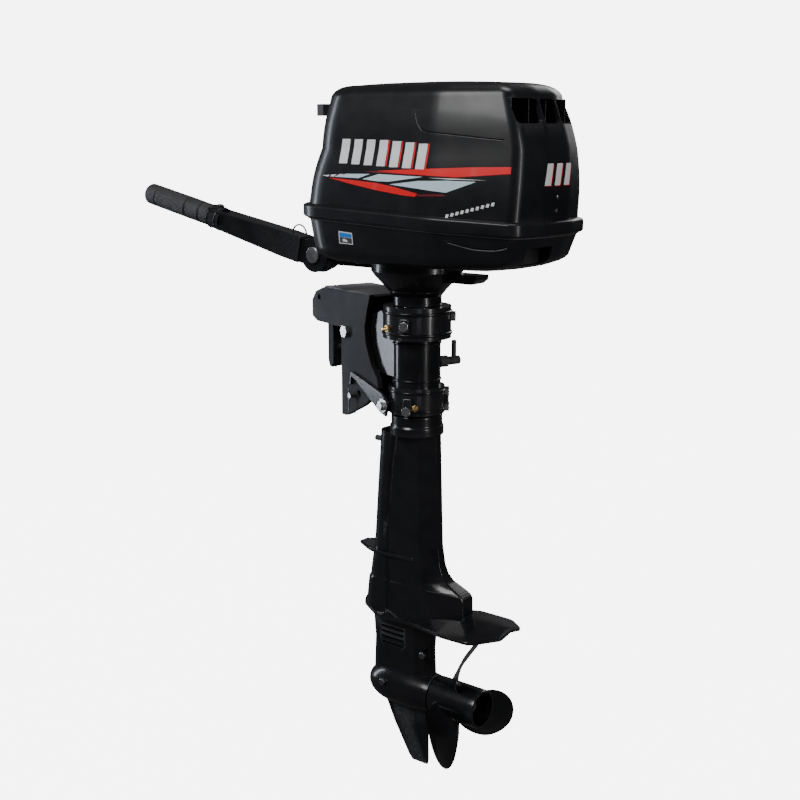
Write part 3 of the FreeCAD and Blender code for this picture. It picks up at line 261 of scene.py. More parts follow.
# Name: colour, roughness, metallic, coat, rubbed colour, wear, grain scale, grain strength, colour spread
FINISHES = {
    "gloss_cowl": ("cowl", 0.36, 0.0, 0.12, (0.06, 0.06, 0.065), 0.5, 900, 0.05, 0.05),
    "black_paint": ("casting", 0.24, 0.0, 0.25, (0.10, 0.10, 0.11), 0.8, 520, 0.12, 0.08),
    "satin_paint": ("casting", 0.58, 0.0, 0.0, (0.10, 0.10, 0.11), 0.8, 520, 0.12, 0.08),
    "rough_casting": ("casting", 0.38, 0.0, 0.2, (0.14, 0.14, 0.15), 0.9, 700, 0.35, 0.12),
    # Grey finish of the clamp's top face: painted sheen, the light on rough cast painted into its colour, with a
    # coarse grain
    "bare_casting": ((0.20, 0.20, 0.22), 0.62, 0.3, 0.0, (0.4, 0.4, 0.42), 0.6, 900, 0.9, 0.5),
    "grip_rubber": ((0.012, 0.012, 0.013), 0.58, 0.0, 0.0, (0.05, 0.05, 0.05), 0.6, 1400, 0.45, 0.2),
    "black_plastic": ((0.010, 0.010, 0.011), 0.45, 0.0, 0.0, (0.05, 0.05, 0.05), 0.6, 1100, 0.3, 0.15),
    "bright_steel": ((0.60, 0.60, 0.61), 0.27, 1.0, 0.0, (0.9, 0.9, 0.9), 0.6, 800, 0.15, 0.1),
    "dark_steel": ((0.16, 0.16, 0.17), 0.36, 1.0, 0.0, (0.6, 0.6, 0.6), 0.8, 700, 0.2, 0.1),
    "raw_aluminium": ((0.55, 0.56, 0.57), 0.48, 1.0, 0.0, (0.85, 0.85, 0.85), 0.6, 500, 0.4, 0.15),
    "yellow_brass": ((0.72, 0.50, 0.20), 0.30, 1.0, 0.0, (0.9, 0.75, 0.4), 0.6, 700, 0.15, 0.2),
    "signal_red": ("stripe", 0.35, 0.0, 0.1, (0.7, 0.2, 0.2), 0.2, 900, 0.05, 0.05),
    "pale_facet": ("facet", 0.35, 0.0, 0.1, (0.9, 0.9, 0.9), 0.2, 900, 0.05, 0.1),
    "label_blue": ("label", 0.35, 0.0, 0.1, (0.6, 0.7, 0.9), 0.2, 900, 0.05, 0.1),
    "clean_white": ((0.86, 0.87, 0.88), 0.38, 0.0, 0.1, (0.9, 0.9, 0.9), 0.1, 900, 0.05, 0.05),
    "deep_red": ((0.16, 0.004, 0.008), 0.38, 0.0, 0.1, (0.3, 0.05, 0.05), 0.2, 900, 0.05, 0.1),
    "milky_tank": ((0.66, 0.64, 0.55), 0.45, 0.0, 0.0, (0.8, 0.8, 0.75), 0.3, 700, 0.2, 0.3),
    "glazed_white": ((0.80, 0.78, 0.72), 0.18, 0.0, 0.3, (0.85, 0.85, 0.8), 0.2, 900, 0.05, 0.1),
}


def finish_material(name):
    """Procedural finish: drifting colour and roughness, rubbed edges and a fine grain."""
    found = bpy.data.materials.get(name)
    if found:
        return found
    colour, rough, metallic, coat, rubbed, wear, scale, strength, spread = FINISHES[name]
    if isinstance(colour, str):
        colour = tuple(getattr(colours(), colour))
    material = bpy.data.materials.new(name)
    material.use_nodes = True
    tree = material.node_tree
    shader = tree.nodes["Principled BSDF"]
    shader.inputs["Metallic"].default_value = metallic
    shader.inputs["Coat Weight"].default_value = coat
    shader.inputs["Coat Roughness"].default_value = COAT_ROUGHNESS
    shader.inputs["Specular IOR Level"].default_value = BLACK_SPECULAR if name in BLACK_FINISHES else SPECULAR
    drift = group_node(tree, "Surface Drift", {"Colour": (*colour, 1), "Spread": spread, "Roughness": rough,
                                               "Roughness Spread": ROUGHNESS_SPREAD,
                                               "Scale": DRIFT_SCALE})
    worn = group_node(tree, "Edge Wear", {"Colour": drift.outputs["Colour"], "Rubbed": (*rubbed, 1),
                                          "Amount": wear})
    grain = group_node(tree, "Surface Grain", {"Scale": scale, "Strength": strength})
    tree.links.new(worn.outputs["Colour"], shader.inputs["Base Color"])
    tree.links.new(drift.outputs["Roughness"], shader.inputs["Roughness"])
    tree.links.new(grain.outputs["Normal"], shader.inputs["Normal"])
    return material


# ------------------------------------------------------------- mesh building
def rounded_outline(points, radii, arc_steps=8, run_steps=4):
    """Closed flat outline of straight runs joined by tangent arcs, always with the same number of points."""
    corners = [Vector(point) for point in points]
    ends = []
    for index, corner in enumerate(corners):
        back = (corners[index - 1] - corner).normalized()
        ahead = (corners[(index + 1) % len(corners)] - corner).normalized()
        half = back.angle(ahead) / 2
        reach = radii[index] / math.tan(half)
        centre = corner + (back + ahead).normalized() * (radii[index] / math.sin(half))
        ends.append((centre, corner + back * reach, corner + ahead * reach))
    outline = []
    for index, (centre, start, finish) in enumerate(ends):
        arm = start - centre
        turn = math.atan2(arm.cross(finish - centre), arm.dot(finish - centre))
        for step in range(arc_steps + 1):
            outline.append(centre + Matrix.Rotation(turn * step / arc_steps, 2) @ arm)
        following = ends[(index + 1) % len(ends)][1]
        for step in range(1, run_steps):
            outline.append(finish.lerp(following, step / run_steps))
    return outline


def add_ring(bm, points):
    return [bm.verts.new(point) for point in points]


def bridge(bm, low, high):
    """Band of quads between two rings of equal length."""
    count = len(low)
    for index in range(count):
        after = (index + 1) % count
        bm.faces.new((low[index], low[after], high[after], high[index]))


def skin(bm, rings, close_first=True, close_last=True):
    """Closed skin through rings of points."""
    made = [add_ring(bm, points) for points in rings]
    for low, high in zip(made, made[1:]):
        bridge(bm, low, high)
    if close_first:
        bm.faces.new(list(reversed(made[0])))
    if close_last:
        bm.faces.new(made[-1])
    return made


def turned(bm, profile, axis="x", steps=48, centre=(0, 0, 0)):
    """Solid turned from (along, radius) points about the named axis; both ends close on their last ring."""
    centre = Vector(centre)
    rings = []
    for along, radius in profile:
        ring = []
        for step in range(steps):
            angle = 2 * math.pi * step / steps
            side, up = radius * math.cos(angle), radius * math.sin(angle)
            spot = {"x": (along, side, up), "y": (up, along, side), "z": (side, up, along)}[axis]
            ring.append(centre + Vector(spot))
        rings.append(ring)
    skin(bm, rings)


def block(bm, low, high):
    """Plain block between two corners, to be bevelled with the rest of its piece."""
    low, high = Vector(low), Vector(high)
    made = bmesh.ops.create_cube(bm, size=1)["verts"]
    bmesh.ops.scale(bm, vec=high - low, verts=made)
    bmesh.ops.translate(bm, vec=(low + high) / 2, verts=made)


def mesh_object(name, bm, matrix):
    mesh = bpy.data.meshes.new(name)
    bmesh.ops.recalc_face_normals(bm, faces=bm.faces)
    bm.to_mesh(mesh)
    bm.free()
    mesh.transform(matrix)
    made = bpy.data.objects.new(name, mesh)
    bpy.context.collection.objects.link(made)
    return made


def turned_piece(name, profile, axis, steps, centre=(0, 0, 0), matrix=MOTOR):
    """Object of one turned solid."""
    bm = bmesh.new()
    turned(bm, profile, axis, steps, centre)
    return mesh_object(name, bm, matrix)


def tube_piece(name, route, radius, steps=10, matrix=MOTOR):
    """Object of one round tube."""
    bm = bmesh.new()
    tube(bm, route, radius, steps)
    return mesh_object(name, bm, matrix)


def skinned_piece(name, rings):
    """Object of one closed skin through rings of points."""
    bm = bmesh.new()
    skin(bm, rings)
    return mesh_object(name, bm, MOTOR)


def rounded_block(name, low, high, rounding, segments=3):
    """Object of one block with all its edges rounded."""
    bm = bmesh.new()
    block(bm, low, high)
    bmesh.ops.bevel(bm, geom=bm.edges, offset=rounding, segments=segments, affect="EDGES", profile=0.5)
    return mesh_object(name, bm, MOTOR)


def settled(piece):
    """Bake a piece's modifiers into its mesh."""
    graph = bpy.context.evaluated_depsgraph_get()
    mesh = bpy.data.meshes.new_from_object(piece.evaluated_get(graph))
    piece.modifiers.clear()
    piece.data = mesh
    return piece


def combined(piece, tools, operation="DIFFERENCE"):
    """Cut the tools from a piece, or join them to it, and remove them."""
    for tool in tools:
        modifier = piece.modifiers.new("join", "BOOLEAN")
        modifier.operation = operation
        modifier.solver = "EXACT"
        modifier.object = tool
    bpy.context.view_layer.update()
    before = len(piece.data.vertices)
    settled(piece)
    if len(piece.data.vertices) < before / 2:
        raise RuntimeError(f"{piece.name} was lost while it was joined")
    for tool in tools:
        bpy.data.objects.remove(tool)
    return piece


def dress(piece, body, slot, finish, nodes=(), edge=0.0, segments=3, angle=32.0):
    """Round a piece's edges, smooth it, give it its finish and put it on its body."""
    if edge:
        bevel = piece.modifiers.new("edges", "BEVEL")
        bevel.width = edge * MM
        bevel.segments = segments
        bevel.limit_method = "ANGLE"
        bevel.angle_limit = math.radians(angle)
        bevel.use_clamp_overlap = True
        bevel.miter_outer = "MITER_ARC"
    piece.data.materials.clear()
    piece.data.materials.append(finish_material(finish))
    for face in piece.data.polygons:
        face.use_smooth = True
    piece.data.set_sharp_from_angle(angle=SHARP_ANGLE)
    if edge:
        piece.modifiers.new("normals", "WEIGHTED_NORMAL").keep_sharp = True
    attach(piece, body)
    if nodes:
        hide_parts(*nodes)
    return piece


def body_and_slot(node):
    bodies = frame["record"]["behaviour"]["bodies"]
    body = next(name for name, nodes in bodies.items() if node in nodes)
    slot = next(part["material_slot"] for part in frame["record"]["subparts"] if part["node"] == node)
    return body, slot


def refine(node, finish, edge):
    """Stand-in for a CAD node with the same form, its hard edges rounded as a casting or pressing has them."""
    bm = bmesh.new()
    bm.from_mesh(frame["nodes"][node].data)
    bmesh.ops.remove_doubles(bm, verts=bm.verts, dist=WELD_GAP)
    bmesh.ops.dissolve_limit(bm, angle_limit=FLAT_ANGLE, verts=bm.verts, edges=bm.edges)
    piece = mesh_object(f"{node}_finished", bm, Matrix.Identity(4))
    return dress(piece, *body_and_slot(node), finish, (node,), edge, 2)


# ---------------------------------------------------------------------- cowl
def plan(front, side, rear):
    """Plan outline of the powerhead, drawn in at its front, sides and rear."""
    size = sizes()
    nose = size.nose + front
    flank = size.flank - side
    tail = size.tail - rear
    corner = size.tail_half - side * 0.8
    half = [(nose, -flank), (95, -flank), (tail, -corner), (tail + 11, -corner * 0.35)]
    points = half + [(across, -out) for across, out in reversed(half)]
    return rounded_outline(points, [52, 110, 18, 60, 60, 18, 110, 52], 9, 5)


def rim_height(across, offset):
    return sizes().rim + offset - sizes().rim_fall * across


def powerhead_ring(front, side, rear, offset=0.0, level=None, share=0.0):
    """Ring of the powerhead on the sloping joint, or part of the way from it to a level height."""
    ring = []
    for point in plan(front, side, rear):
        up = rim_height(point.x, offset)
        if level is not None:
            up += (level - up) * share
        ring.append(Vector((point.x, point.y, up)))
    return ring


def cowl_rings(inset, drop, fine):
    """Rings of the cowl from its joint to its crown, drawn in by inset and lowered by drop; fine ones bulge."""
    size = sizes()
    shoulder = size.shoulder - drop
    roof = height("top_cowl") - size.crown - drop
    brow = roof - 18
    rings = []
    steps = 8 if fine else 3
    for step in range(1, steps + 1):
        share = step / steps
        swell = size.bulge * math.sin(math.pi * share) if fine else 0
        rings.append(powerhead_ring(16 * share + inset - swell, 8 * share + inset - swell,
                                    inset - swell - share, 10, shoulder, share))
    for step in range(1, 6):
        share = step / 5
        swell = 1.5 * math.sin(math.pi * share) if fine else 0
        rings.append(powerhead_ring(16 + 7 * share + inset - swell, 8 + 10 * share + inset - swell,
                                    19 * share + inset - swell - 1, 0, shoulder + (brow - shoulder) * share, 1))
    steps = 8 if fine else 3
    for step in range(1, steps + 1):
        turn = math.pi / 2 * step / steps
        spread = 1 - math.cos(turn)
        rings.append(powerhead_ring(23 + 16 * spread + inset, 18 + 24 * spread + inset, 18 + 34 * spread + inset,
                                    0, brow + (roof - brow) * math.sin(turn), 1))
    edge = rings[-1]
    centre = Vector((20, 0, roof))
    for share in (0.93, 0.8, 0.6, 0.35, 0.12):
        lift = Vector((0, 0, size.crown * (1 - share * share)))
        rings.append([centre + (point - centre) * share + lift for point in edge])
    return rings


# Height from the joint and inset of each ring of the cowl's bead
BEAD = ((-8, -4.2), (-6.8, -5.6), (-5.4, -6.2), (6, -6.2), (7.6, -5.6), (8.8, -4.2), (9.4, -1.6), (10, -0.4))


def outer_rings():
    """Rings of the cowl's outer surface, from the lower lip of its bead to its crown."""
    return [powerhead_ring(inset, inset, inset, offset) for offset, inset in BEAD] + cowl_rings(0, 0, True)


def cowl_shell():
    """Closed shell of the cowl: beaded edge, draughted sides, rounded roof, hollow inside."""
    bm = bmesh.new()
    shell = sizes().shell
    inner = [powerhead_ring(shell, shell, shell, -8)] + cowl_rings(shell, shell, False)
    outside = skin(bm, outer_rings(), close_first=False)
    inside = skin(bm, inner, close_first=False)
    bridge(bm, inside[0], outside[0])
    return bm


def cowl_surface():
    """Search tree of the cowl's outer surface, in millimetres about the steering axis."""
    bm = bmesh.new()
    skin(bm, outer_rings(), close_first=False)
    bm.normal_update()
    tree = BVHTree.FromBMesh(bm)
    bm.free()
    return tree


def on_side(tree, across, up, sign, lift):
    """Point on the cowl's or pan's side, lifted off it; sign picks port (-1) or starboard (1)."""
    hit, normal, _, _ = tree.ray_cast(Vector((across, 300 * sign, up)), Vector((0, -sign, 0)))
    if hit is None:
        raise RuntimeError(f"nothing at {across}, {up} on the side")
    if normal.y * sign < 0:
        normal = -normal
    return hit + normal * lift


def on_rear(tree, out, up, lift):
    hit, normal, _, _ = tree.ray_cast(Vector((400, out, up)), Vector((-1, 0, 0)))
    if normal.x < 0:
        normal = -normal
    return hit + normal * lift


def tube(bm, route, radius, steps=10):
    """Round tube along a route of points, closed at both ends."""
    rings = []
    for index, spot in enumerate(route):
        ahead = route[min(index + 1, len(route) - 1)] - route[max(index - 1, 0)]
        turn = ahead.to_track_quat("Z", "Y")
        rings.append([spot + turn @ Vector((radius * math.cos(2 * math.pi * step / steps),
                                            radius * math.sin(2 * math.pi * step / steps), 0))
                      for step in range(steps)])
    skin(bm, rings)


def spread_route(points, gap):
    """Points along a smooth curve through the given ones, about gap apart."""
    points = [Vector(point) for point in points]
    padded = [points[0] * 2 - points[1]] + points + [points[-1] * 2 - points[-2]]
    route = []
    for index in range(1, len(padded) - 2):
        before, start, finish, after = padded[index - 1:index + 3]
        steps = max(2, int((finish - start).length / gap))
        for step in range(steps):
            t = step / steps
            route.append(0.5 * (2 * start + (finish - before) * t
                                + (2 * before - 5 * start + 4 * finish - after) * t * t
                                + (3 * start - before - 3 * finish + after) * t ** 3))
    route.append(points[-1])
    return route


LOUVRES = ((-62, -21), (-17, 17), (21, 62))
LOUVRE_FOOT = 282
LOUVRE_HEAD = 311
LOUVRE_RIB = 1.1
ROPE_TURN = -17.7
ROPE_EXIT = -112
ROPE_WAY = 3.6
SCREW_LEVELS = (195, 178.5)
# Side crease: distance aft and height
CREASE = [(61, 296), (66, 285), (73, 276), (84, 271.5), (112, 269), (152, 265), (184, 262)]


class OUTBOARD_OT_cowl(bpy.types.Operator):
    """Top cowl: shell with its bead, rear louvres and side creases"""
    bl_idname = "outboard.cowl"
    bl_label = "Top cowl"

    def execute(self, context):
        cowl = mesh_object("cowl_shell", cowl_shell(), MOTOR)
        surface = cowl_surface()
        tools = []
        for index, (low, high) in enumerate(LOUVRES):
            tools.append(rounded_block(f"louvre{index}", (140, low, LOUVRE_FOOT), (240, high, LOUVRE_HEAD), 5))
        for sign in (-1, 1):
            route = [on_side(surface, point.x, point.y, sign, 0.35) for point in spread_route(CREASE, 5)]
            tools.append(tube_piece(f"crease{sign}", route, 1.5))
        pull = Matrix.Rotation(math.radians(ROPE_TURN), 3, "Z") @ Vector((-1, 0, 0))
        handle_low, handle_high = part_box("starter_handle")
        exit_point = Vector((ROPE_EXIT, 0, handle_low.lerp(handle_high, 0.5).z / MM))
        way = [exit_point - pull * 30, exit_point + pull * 40]
        tools.append(tube_piece("rope_way", way, ROPE_WAY, 20))
        combined(cowl, tools)
        dress(cowl, "cowl", "cowl_plastic", "gloss_cowl", ("top_cowl",), 0.7, 2, 40)
        guide_route = [exit_point + pull * reach for reach in (-8, 8, 13)]
        guide = tube_piece("rope_guide", guide_route, 11, 28)
        combined(guide, [tube_piece("guide_way", way, ROPE_WAY, 20)])
        dress(guide, "cowl", "black_plastic", "black_plastic", (), 1.2)
        ribs = bmesh.new()
        for low, high in LOUVRES:
            for out in (low + 1.5, high - 1.5):
                block(ribs, (150, out - LOUVRE_RIB, LOUVRE_FOOT - 3), (186, out + LOUVRE_RIB, LOUVRE_HEAD + 1))
        block(ribs, (120, -66, LOUVRE_FOOT - 4), (150, 66, LOUVRE_HEAD + 2))
        dress(mesh_object("louvre_ribs", ribs, MOTOR), "cowl", "cowl_plastic", "gloss_cowl", (), 0.8)
        screws = bmesh.new()
        for up in SCREW_LEVELS:
            spot = on_rear(surface, -0.5, up, 0)
            turned(screws, [(-2, 2.4), (0.5, 2.4), (1.1, 1.8), (1.2, 0.4)], "x", 20, spot)
        dress(mesh_object("cowl_screws", screws, MOTOR), "cowl", "steel", "bright_steel", (), 0.15)
        return {"FINISHED"}


# --------------------------------------------------------------------- decals
# Outlines in millimetres: distance aft and height.
STRIPES = {
    "signal_red": [[(10, 224.5), (46, 226.5), (93, 228.5), (150, 230.8), (196, 231.6), (196, 223.6), (150, 220.2),
                    (127, 218.6), (90, 220.2), (46, 221.6)],
                   [(-69, 214.6), (-30, 212.6), (9, 209.9), (34, 206.4), (76, 198.4), (73, 194.3), (53, 195.6),
                    (9, 201.0), (-31, 207.4)]],
    "pale_facet": [[(-39, 220.0), (0, 220.5), (-19, 214.9), (-60, 216.0)],
                   [(14, 220.6), (84, 218.6), (30, 211.6), (9, 211.9), (-12, 214.0)],
                   [(32, 208.4), (77, 213.6), (118, 214.6), (154, 213.8), (116, 200.4)]],
    "clean_white": [[(-80, 217.2), (-67, 218.4), (-70, 216.0)], [(-64, 218.6), (-55, 219.1), (-60, 216.1),
                                                                (-66, 216.3)],
                    [(-51, 219.3), (-44, 219.7), (-53, 216.0), (-57, 216.2)],
                    [(92, 217.6), (132, 217.0), (168, 215.6), (120, 216.0)]],
    "deep_red": [[(-12, 223.6), (8, 224.4), (44, 221.7), (8, 222.2)],
                 [(34, 205.4), (76, 197.3), (112, 198.3), (116, 196.2), (78, 195.2)]],
}
# Layers of the small plate on the pan: name, outline, finish and lift
PLATES = (
    ("plate_border", [(-52.5, 131), (-29.5, 130.5), (-29.5, 145.5), (-52.5, 147)], "clean_white", 0.3),
    ("plate_top", [(-51.3, 139.6), (-30.7, 139), (-30.7, 144.4), (-51.3, 145.8)], "label_blue", 0.5),
    ("plate_foot", [(-51.3, 132.1), (-30.7, 131.6), (-30.7, 138.6), (-51.3, 139.2)], "black_plastic", 0.5),
    ("plate_mark", [(-46, 134), (-38, 133.6), (-38, 135.4), (-43, 137.4), (-46, 137)], "clean_white", 0.7),
)
MARKS = 7
DASHES = 10


def fill_outline(bm, outline, lay, gap=3.0):
    """Flat outline cut into a grid of squares, laid point by point on a surface."""
    flat = bmesh.new()
    flat.faces.new([flat.verts.new((across, up, 0)) for across, up in outline])
    bmesh.ops.triangulate(flat, faces=flat.faces)
    for axis in (0, 1):
        low = min(point[axis] for point in outline)
        high = max(point[axis] for point in outline)
        normal = (1 - axis, axis, 0)
        cut = math.floor(low / gap) * gap + gap
        while cut < high:
            geometry = flat.verts[:] + flat.edges[:] + flat.faces[:]
            bmesh.ops.bisect_plane(flat, geom=geometry, plane_co=Vector(normal) * cut, plane_no=normal)
            cut += gap
    made = {vert: bm.verts.new(lay(vert.co.x, vert.co.y)) for vert in flat.verts}
    for face in flat.faces:
        bm.faces.new([made[vert] for vert in face.verts])
    flat.free()


def slanted(left, low, wide, tall, lean):
    """Four corners of a slanted bar, from its lower left one."""
    return [(left, low), (left + wide, low), (left + wide + lean, low + tall), (left + lean, low + tall)]


def word_bars():
    """Row of plain slanted bars, and the thin red bars beside the later ones."""
    white, red = [], []
    for index in range(MARKS):
        left = -53 + index * 20.6
        low = 233 - index * 0.9
        tall = 32 - abs(index - 3) * 0.5
        white.append(slanted(left, low, 13.5, tall, 2.5))
        if index > 2:
            red.append(slanted(left + 14.2, low, 2.2, tall, 2.5))
    return white, red


class OUTBOARD_OT_decals(bpy.types.Operator):
    """Side stripes, plain bars and the small plate on the pan"""
    bl_idname = "outboard.decals"
    bl_label = "Decals"

    def execute(self, context):
        surface = cowl_surface()
        white, shadow = word_bars()
        dashes = [slanted(116 + index * 6.4, 170.5 + index * 1.7, 3.6, 4.2, 1.2) for index in range(DASHES)]
        layers = [("signal_red", STRIPES["signal_red"] + shadow, 0.20), ("deep_red", STRIPES["deep_red"], 0.16),
                  ("pale_facet", STRIPES["pale_facet"], 0.24),
                  ("clean_white", STRIPES["clean_white"] + white + dashes, 0.28)]
        for finish, outlines, lift in layers:
            bm = bmesh.new()
            for sign in (-1, 1):
                for outline in outlines:
                    fill_outline(bm, outline, lambda x, up: on_side(surface, x, up, sign, lift))
            dress(mesh_object(f"side_decals_{finish}", bm, MOTOR), "cowl", "cowl_plastic", finish)
        for name, offset, finish, lift in (("shadow", 1.6, "signal_red", 0.2), ("bars", 0, "clean_white", 0.28)):
            bm = bmesh.new()
            for index in range(3):
                outline = slanted(-30 + index * 21 + offset, 209 - offset * 0.6, 12.5, 26, 6)
                fill_outline(bm, outline, lambda out, up: on_rear(surface, out, up, lift), 4)
            dress(mesh_object(f"rear_decal_{name}", bm, MOTOR), "cowl", "cowl_plastic", finish)
        pan = pan_surface()
        for name, outline, finish, lift in PLATES:
            bm = bmesh.new()
            fill_outline(bm, outline, lambda x, up: on_side(pan, x, up, -1, lift), 4)
            dress(mesh_object(name, bm, MOTOR), "motor", "cowl_plastic", finish)
        return {"FINISHED"}


# ----------------------------------------------------------------- lower pan
def pan_rings(inset):
    """Rings of the pan from its floor up to the joint, drawn in by inset all round."""
    floor = height("lower_pan", False)
    rings = []
    steps = 7
    for step in range(steps + 1):
        turn = math.pi / 2 * step / steps
        share = 1 - math.sin(turn)
        rings.append(powerhead_ring(5 + 29 * share + inset, 4 + 28 * share + inset, 8 + 56 * share + inset, 0,
                                    floor + inset + 20 * (1 - math.cos(turn)), 1))
    for step in range(1, 5):
        share = step / 4
        rings.append(powerhead_ring(5 - 5 * share + inset, 4 - 4 * share + inset, 8 - 8 * share + inset, -10,
                                    floor + 20, 1 - share))
    return rings


def pan_surface():
    bm = bmesh.new()
    skin(bm, pan_rings(0))
    bm.normal_update()
    tree = BVHTree.FromBMesh(bm)
    bm.free()
    return tree


CONTROL_SPOTS = (6, 24, 42)
CONTROL_HOLE = 4.3
# Side line: distance aft and height
PAN_LINE = [(118, 141), (150, 134), (178, 133.5), (192, 137)]


class OUTBOARD_OT_pan(bpy.types.Operator):
    """Lower pan under the cowl"""
    bl_idname = "outboard.pan"
    bl_label = "Lower pan"

    def execute(self, context):
        bm = bmesh.new()
        outside = skin(bm, pan_rings(0), close_last=False)
        inside = skin(bm, pan_rings(4), close_last=False)
        bridge(bm, outside[-1], inside[-1])
        pan = mesh_object("pan_shell", bm, MOTOR)
        floor = height("lower_pan", False)
        tools = [turned_piece("pan_centre", [(floor - 6, 38), (floor + 16, 38)], "z", 64)]
        for out in CONTROL_SPOTS:
            tools.append(turned_piece("control_hole", [(-150, CONTROL_HOLE), (-105, CONTROL_HOLE)], "x", 24,
                                      (0, out, sizes().rim - 30)))
        tools.append(rounded_block("latch_recess", (176, -48, floor + 9), (230, 2, floor + 31), 3))
        surface = pan_surface()
        for sign in (-1, 1):
            route = [on_side(surface, point.x, point.y, sign, 0.6) for point in spread_route(PAN_LINE, 5)]
            tools.append(tube_piece(f"pan_line{sign}", route, 1.6))
        combined(pan, tools)
        dress(pan, "motor", "cowl_plastic", "gloss_cowl", ("lower_pan",), 1.0, 2, 40)
        bosses = bmesh.new()
        for across, out in ((-64, -46), (-64, 46), (72, -44), (72, 44), (110, -20), (110, 20)):
            turned(bosses, [(floor - 2, 5), (floor + 2, 7)], "z", 24, (across, out, 0))
            turned(bosses, [(floor - 4.5, 3), (floor - 4, 4), (floor - 1.5, 4)], "z", 6, (across, out, 0))
        dress(mesh_object("pan_bolts", bosses, MOTOR), "motor", "steel", "dark_steel", (), 0.5)
        return {"FINISHED"}


# ------------------------------------------------------------ leg and gearcase
def foil(nose, shoulder, tail, half, tail_half, up):
    """Level outline of the faired leg: round nose, flat sides to the shoulder, then a taper to a narrow tail."""
    points = [(nose, -half), (shoulder, -half), (tail, -tail_half), (tail, tail_half), (shoulder, half),
              (nose, half)]
    corner = tail_half * 0.35
    return [Vector((point.x, point.y, up))
            for point in rounded_outline(points, [half * 0.98, 7, corner, corner, 7, half * 0.98], 8, 5)]


def between(first, second, share):
    return tuple(a + (b - a) * share for a, b in zip(first, second))


def foil_run(stations, steps):
    """Foil rings between stations of (nose, shoulder, tail, half width, half width at the tail, height)."""
    rings = []
    for start, finish in zip(stations, stations[1:]):
        rings += [foil(*between(start, finish, step / steps)) for step in range(steps)]
    rings.append(foil(*stations[-1]))
    return rings


# Nose, shoulder, tail, half width and half width at the tail, where the leg meets the gearcase
LEG_FOOT = (-75.5, 36, 80, 25, 12)
FIN_RISE = 39


def flute(sign, top, foot, upper, lower):
    """Round cutter for the shallow flute down each side of the leg, just behind its nose."""
    route = []
    for step in range(9):
        share = step / 8
        up = top + (foot - top) * share
        across = -31.5 + 12 * max(0.0, 1 - (height("leg_housing") - up) / 110) ** 1.5
        out = upper + (lower - upper) * share + 3.2
        route.append(Vector((across, out * sign, up)))
    return tube_piece(f"flute_cutter{sign}", route, 5.4, 24)


class OUTBOARD_OT_leg(bpy.types.Operator):
    """Leg housing with its spray fin and side flutes"""
    bl_idname = "outboard.leg"
    bl_label = "Leg"

    def execute(self, context):
        top = height("leg_housing")
        foot = height("leg_housing", False)
        stations = [(-56, 22, 38, 23.5, 5, top), (-62, 23, 40, 23.7, 5.5, top - 80),
                    (-67, 24, 42, 24, 6, foot + 60), (-71, 26, 46, 24.4, 7, foot + 32),
                    (-73, 28, 51, 24.6, 8, foot + 19),
                    (-74.3, 30, 60, 24.8, 9, foot + 10), (-75, 33, 72, 24.9, 11, foot + 4), LEG_FOOT + (foot,)]
        leg = skinned_piece("leg_casting", foil_run(stations, 5))
        tools = [flute(sign, top + 5, foot - 5, 23.6, 25) for sign in (-1, 1)]
        tools.append(turned_piece("telltale_seat", [(-62, 4.1), (-48, 4.1)], "x", 24, (0, -12, top - 14)))
        combined(leg, tools)
        dress(leg, "motor", "grey_casting", "black_paint", ("leg_housing",), 1.2, 3, 30)
        fin_z = foot + FIN_RISE
        points = [(-98, -8), (-66, -26), (-38, -30), (14, -25), (14, 25), (-38, 30), (-66, 26), (-98, 8)]
        outline = rounded_outline(points, [7, 20, 60, 2, 2, 60, 20, 7], 6, 2)
        rings = []
        for spread, up in ((-1.4, -2.5), (0, -1.2), (0, 1.2), (-1.4, 2.5)):
            scale = 1 + spread / 50
            rings.append([Vector((point.x * scale, point.y * scale, fin_z + up)) for point in outline])
        dress(skinned_piece("spray_fin", rings), "motor", "grey_casting", "black_paint", (), 0.6)
        return {"FINISHED"}


def plate_outline():
    side = [(-84, -16), (-50, -31), (20, -38), (78, -54), (128, -53), (160, -24)]
    points = side + [(across, -out) for across, out in reversed(side)]
    return rounded_outline(points, [10, 30, 90, 60, 24, 8, 8, 24, 60, 90, 30, 10], 6, 4)


def plate_ring(scale, drop):
    """Ring of the anti-ventilation plate, which falls from its ridge to its edges, steeper towards the nose."""
    ridge = height("gearcase") - 33 - drop
    ring = []
    for point in plate_outline():
        across = 38 + (point.x - 38) * (0.94 + 0.06 * scale)
        out = point.y * scale
        fall = 0.2 + max(0.0, 74 - across) * 0.003
        ring.append(Vector((across, out, ridge - abs(out) * fall)))
    return ring


# Distance aft and radius of the bullet
TORPEDO = [(-80, 0.6), (-79, 6), (-74, 15), (-62, 23.5), (-42, 29), (-10, 30.5), (20, 29), (37, 27)]
# Scale and drop of the plate's rings, round its edge from below to above
PLATE_RINGS = ((0.04, 5), (0.5, 5), (0.985, 5), (1, 4), (1, 1.2), (0.985, 0), (0.5, 0), (0.04, 0))
SLOTS = 4
SLOT_PITCH = 8


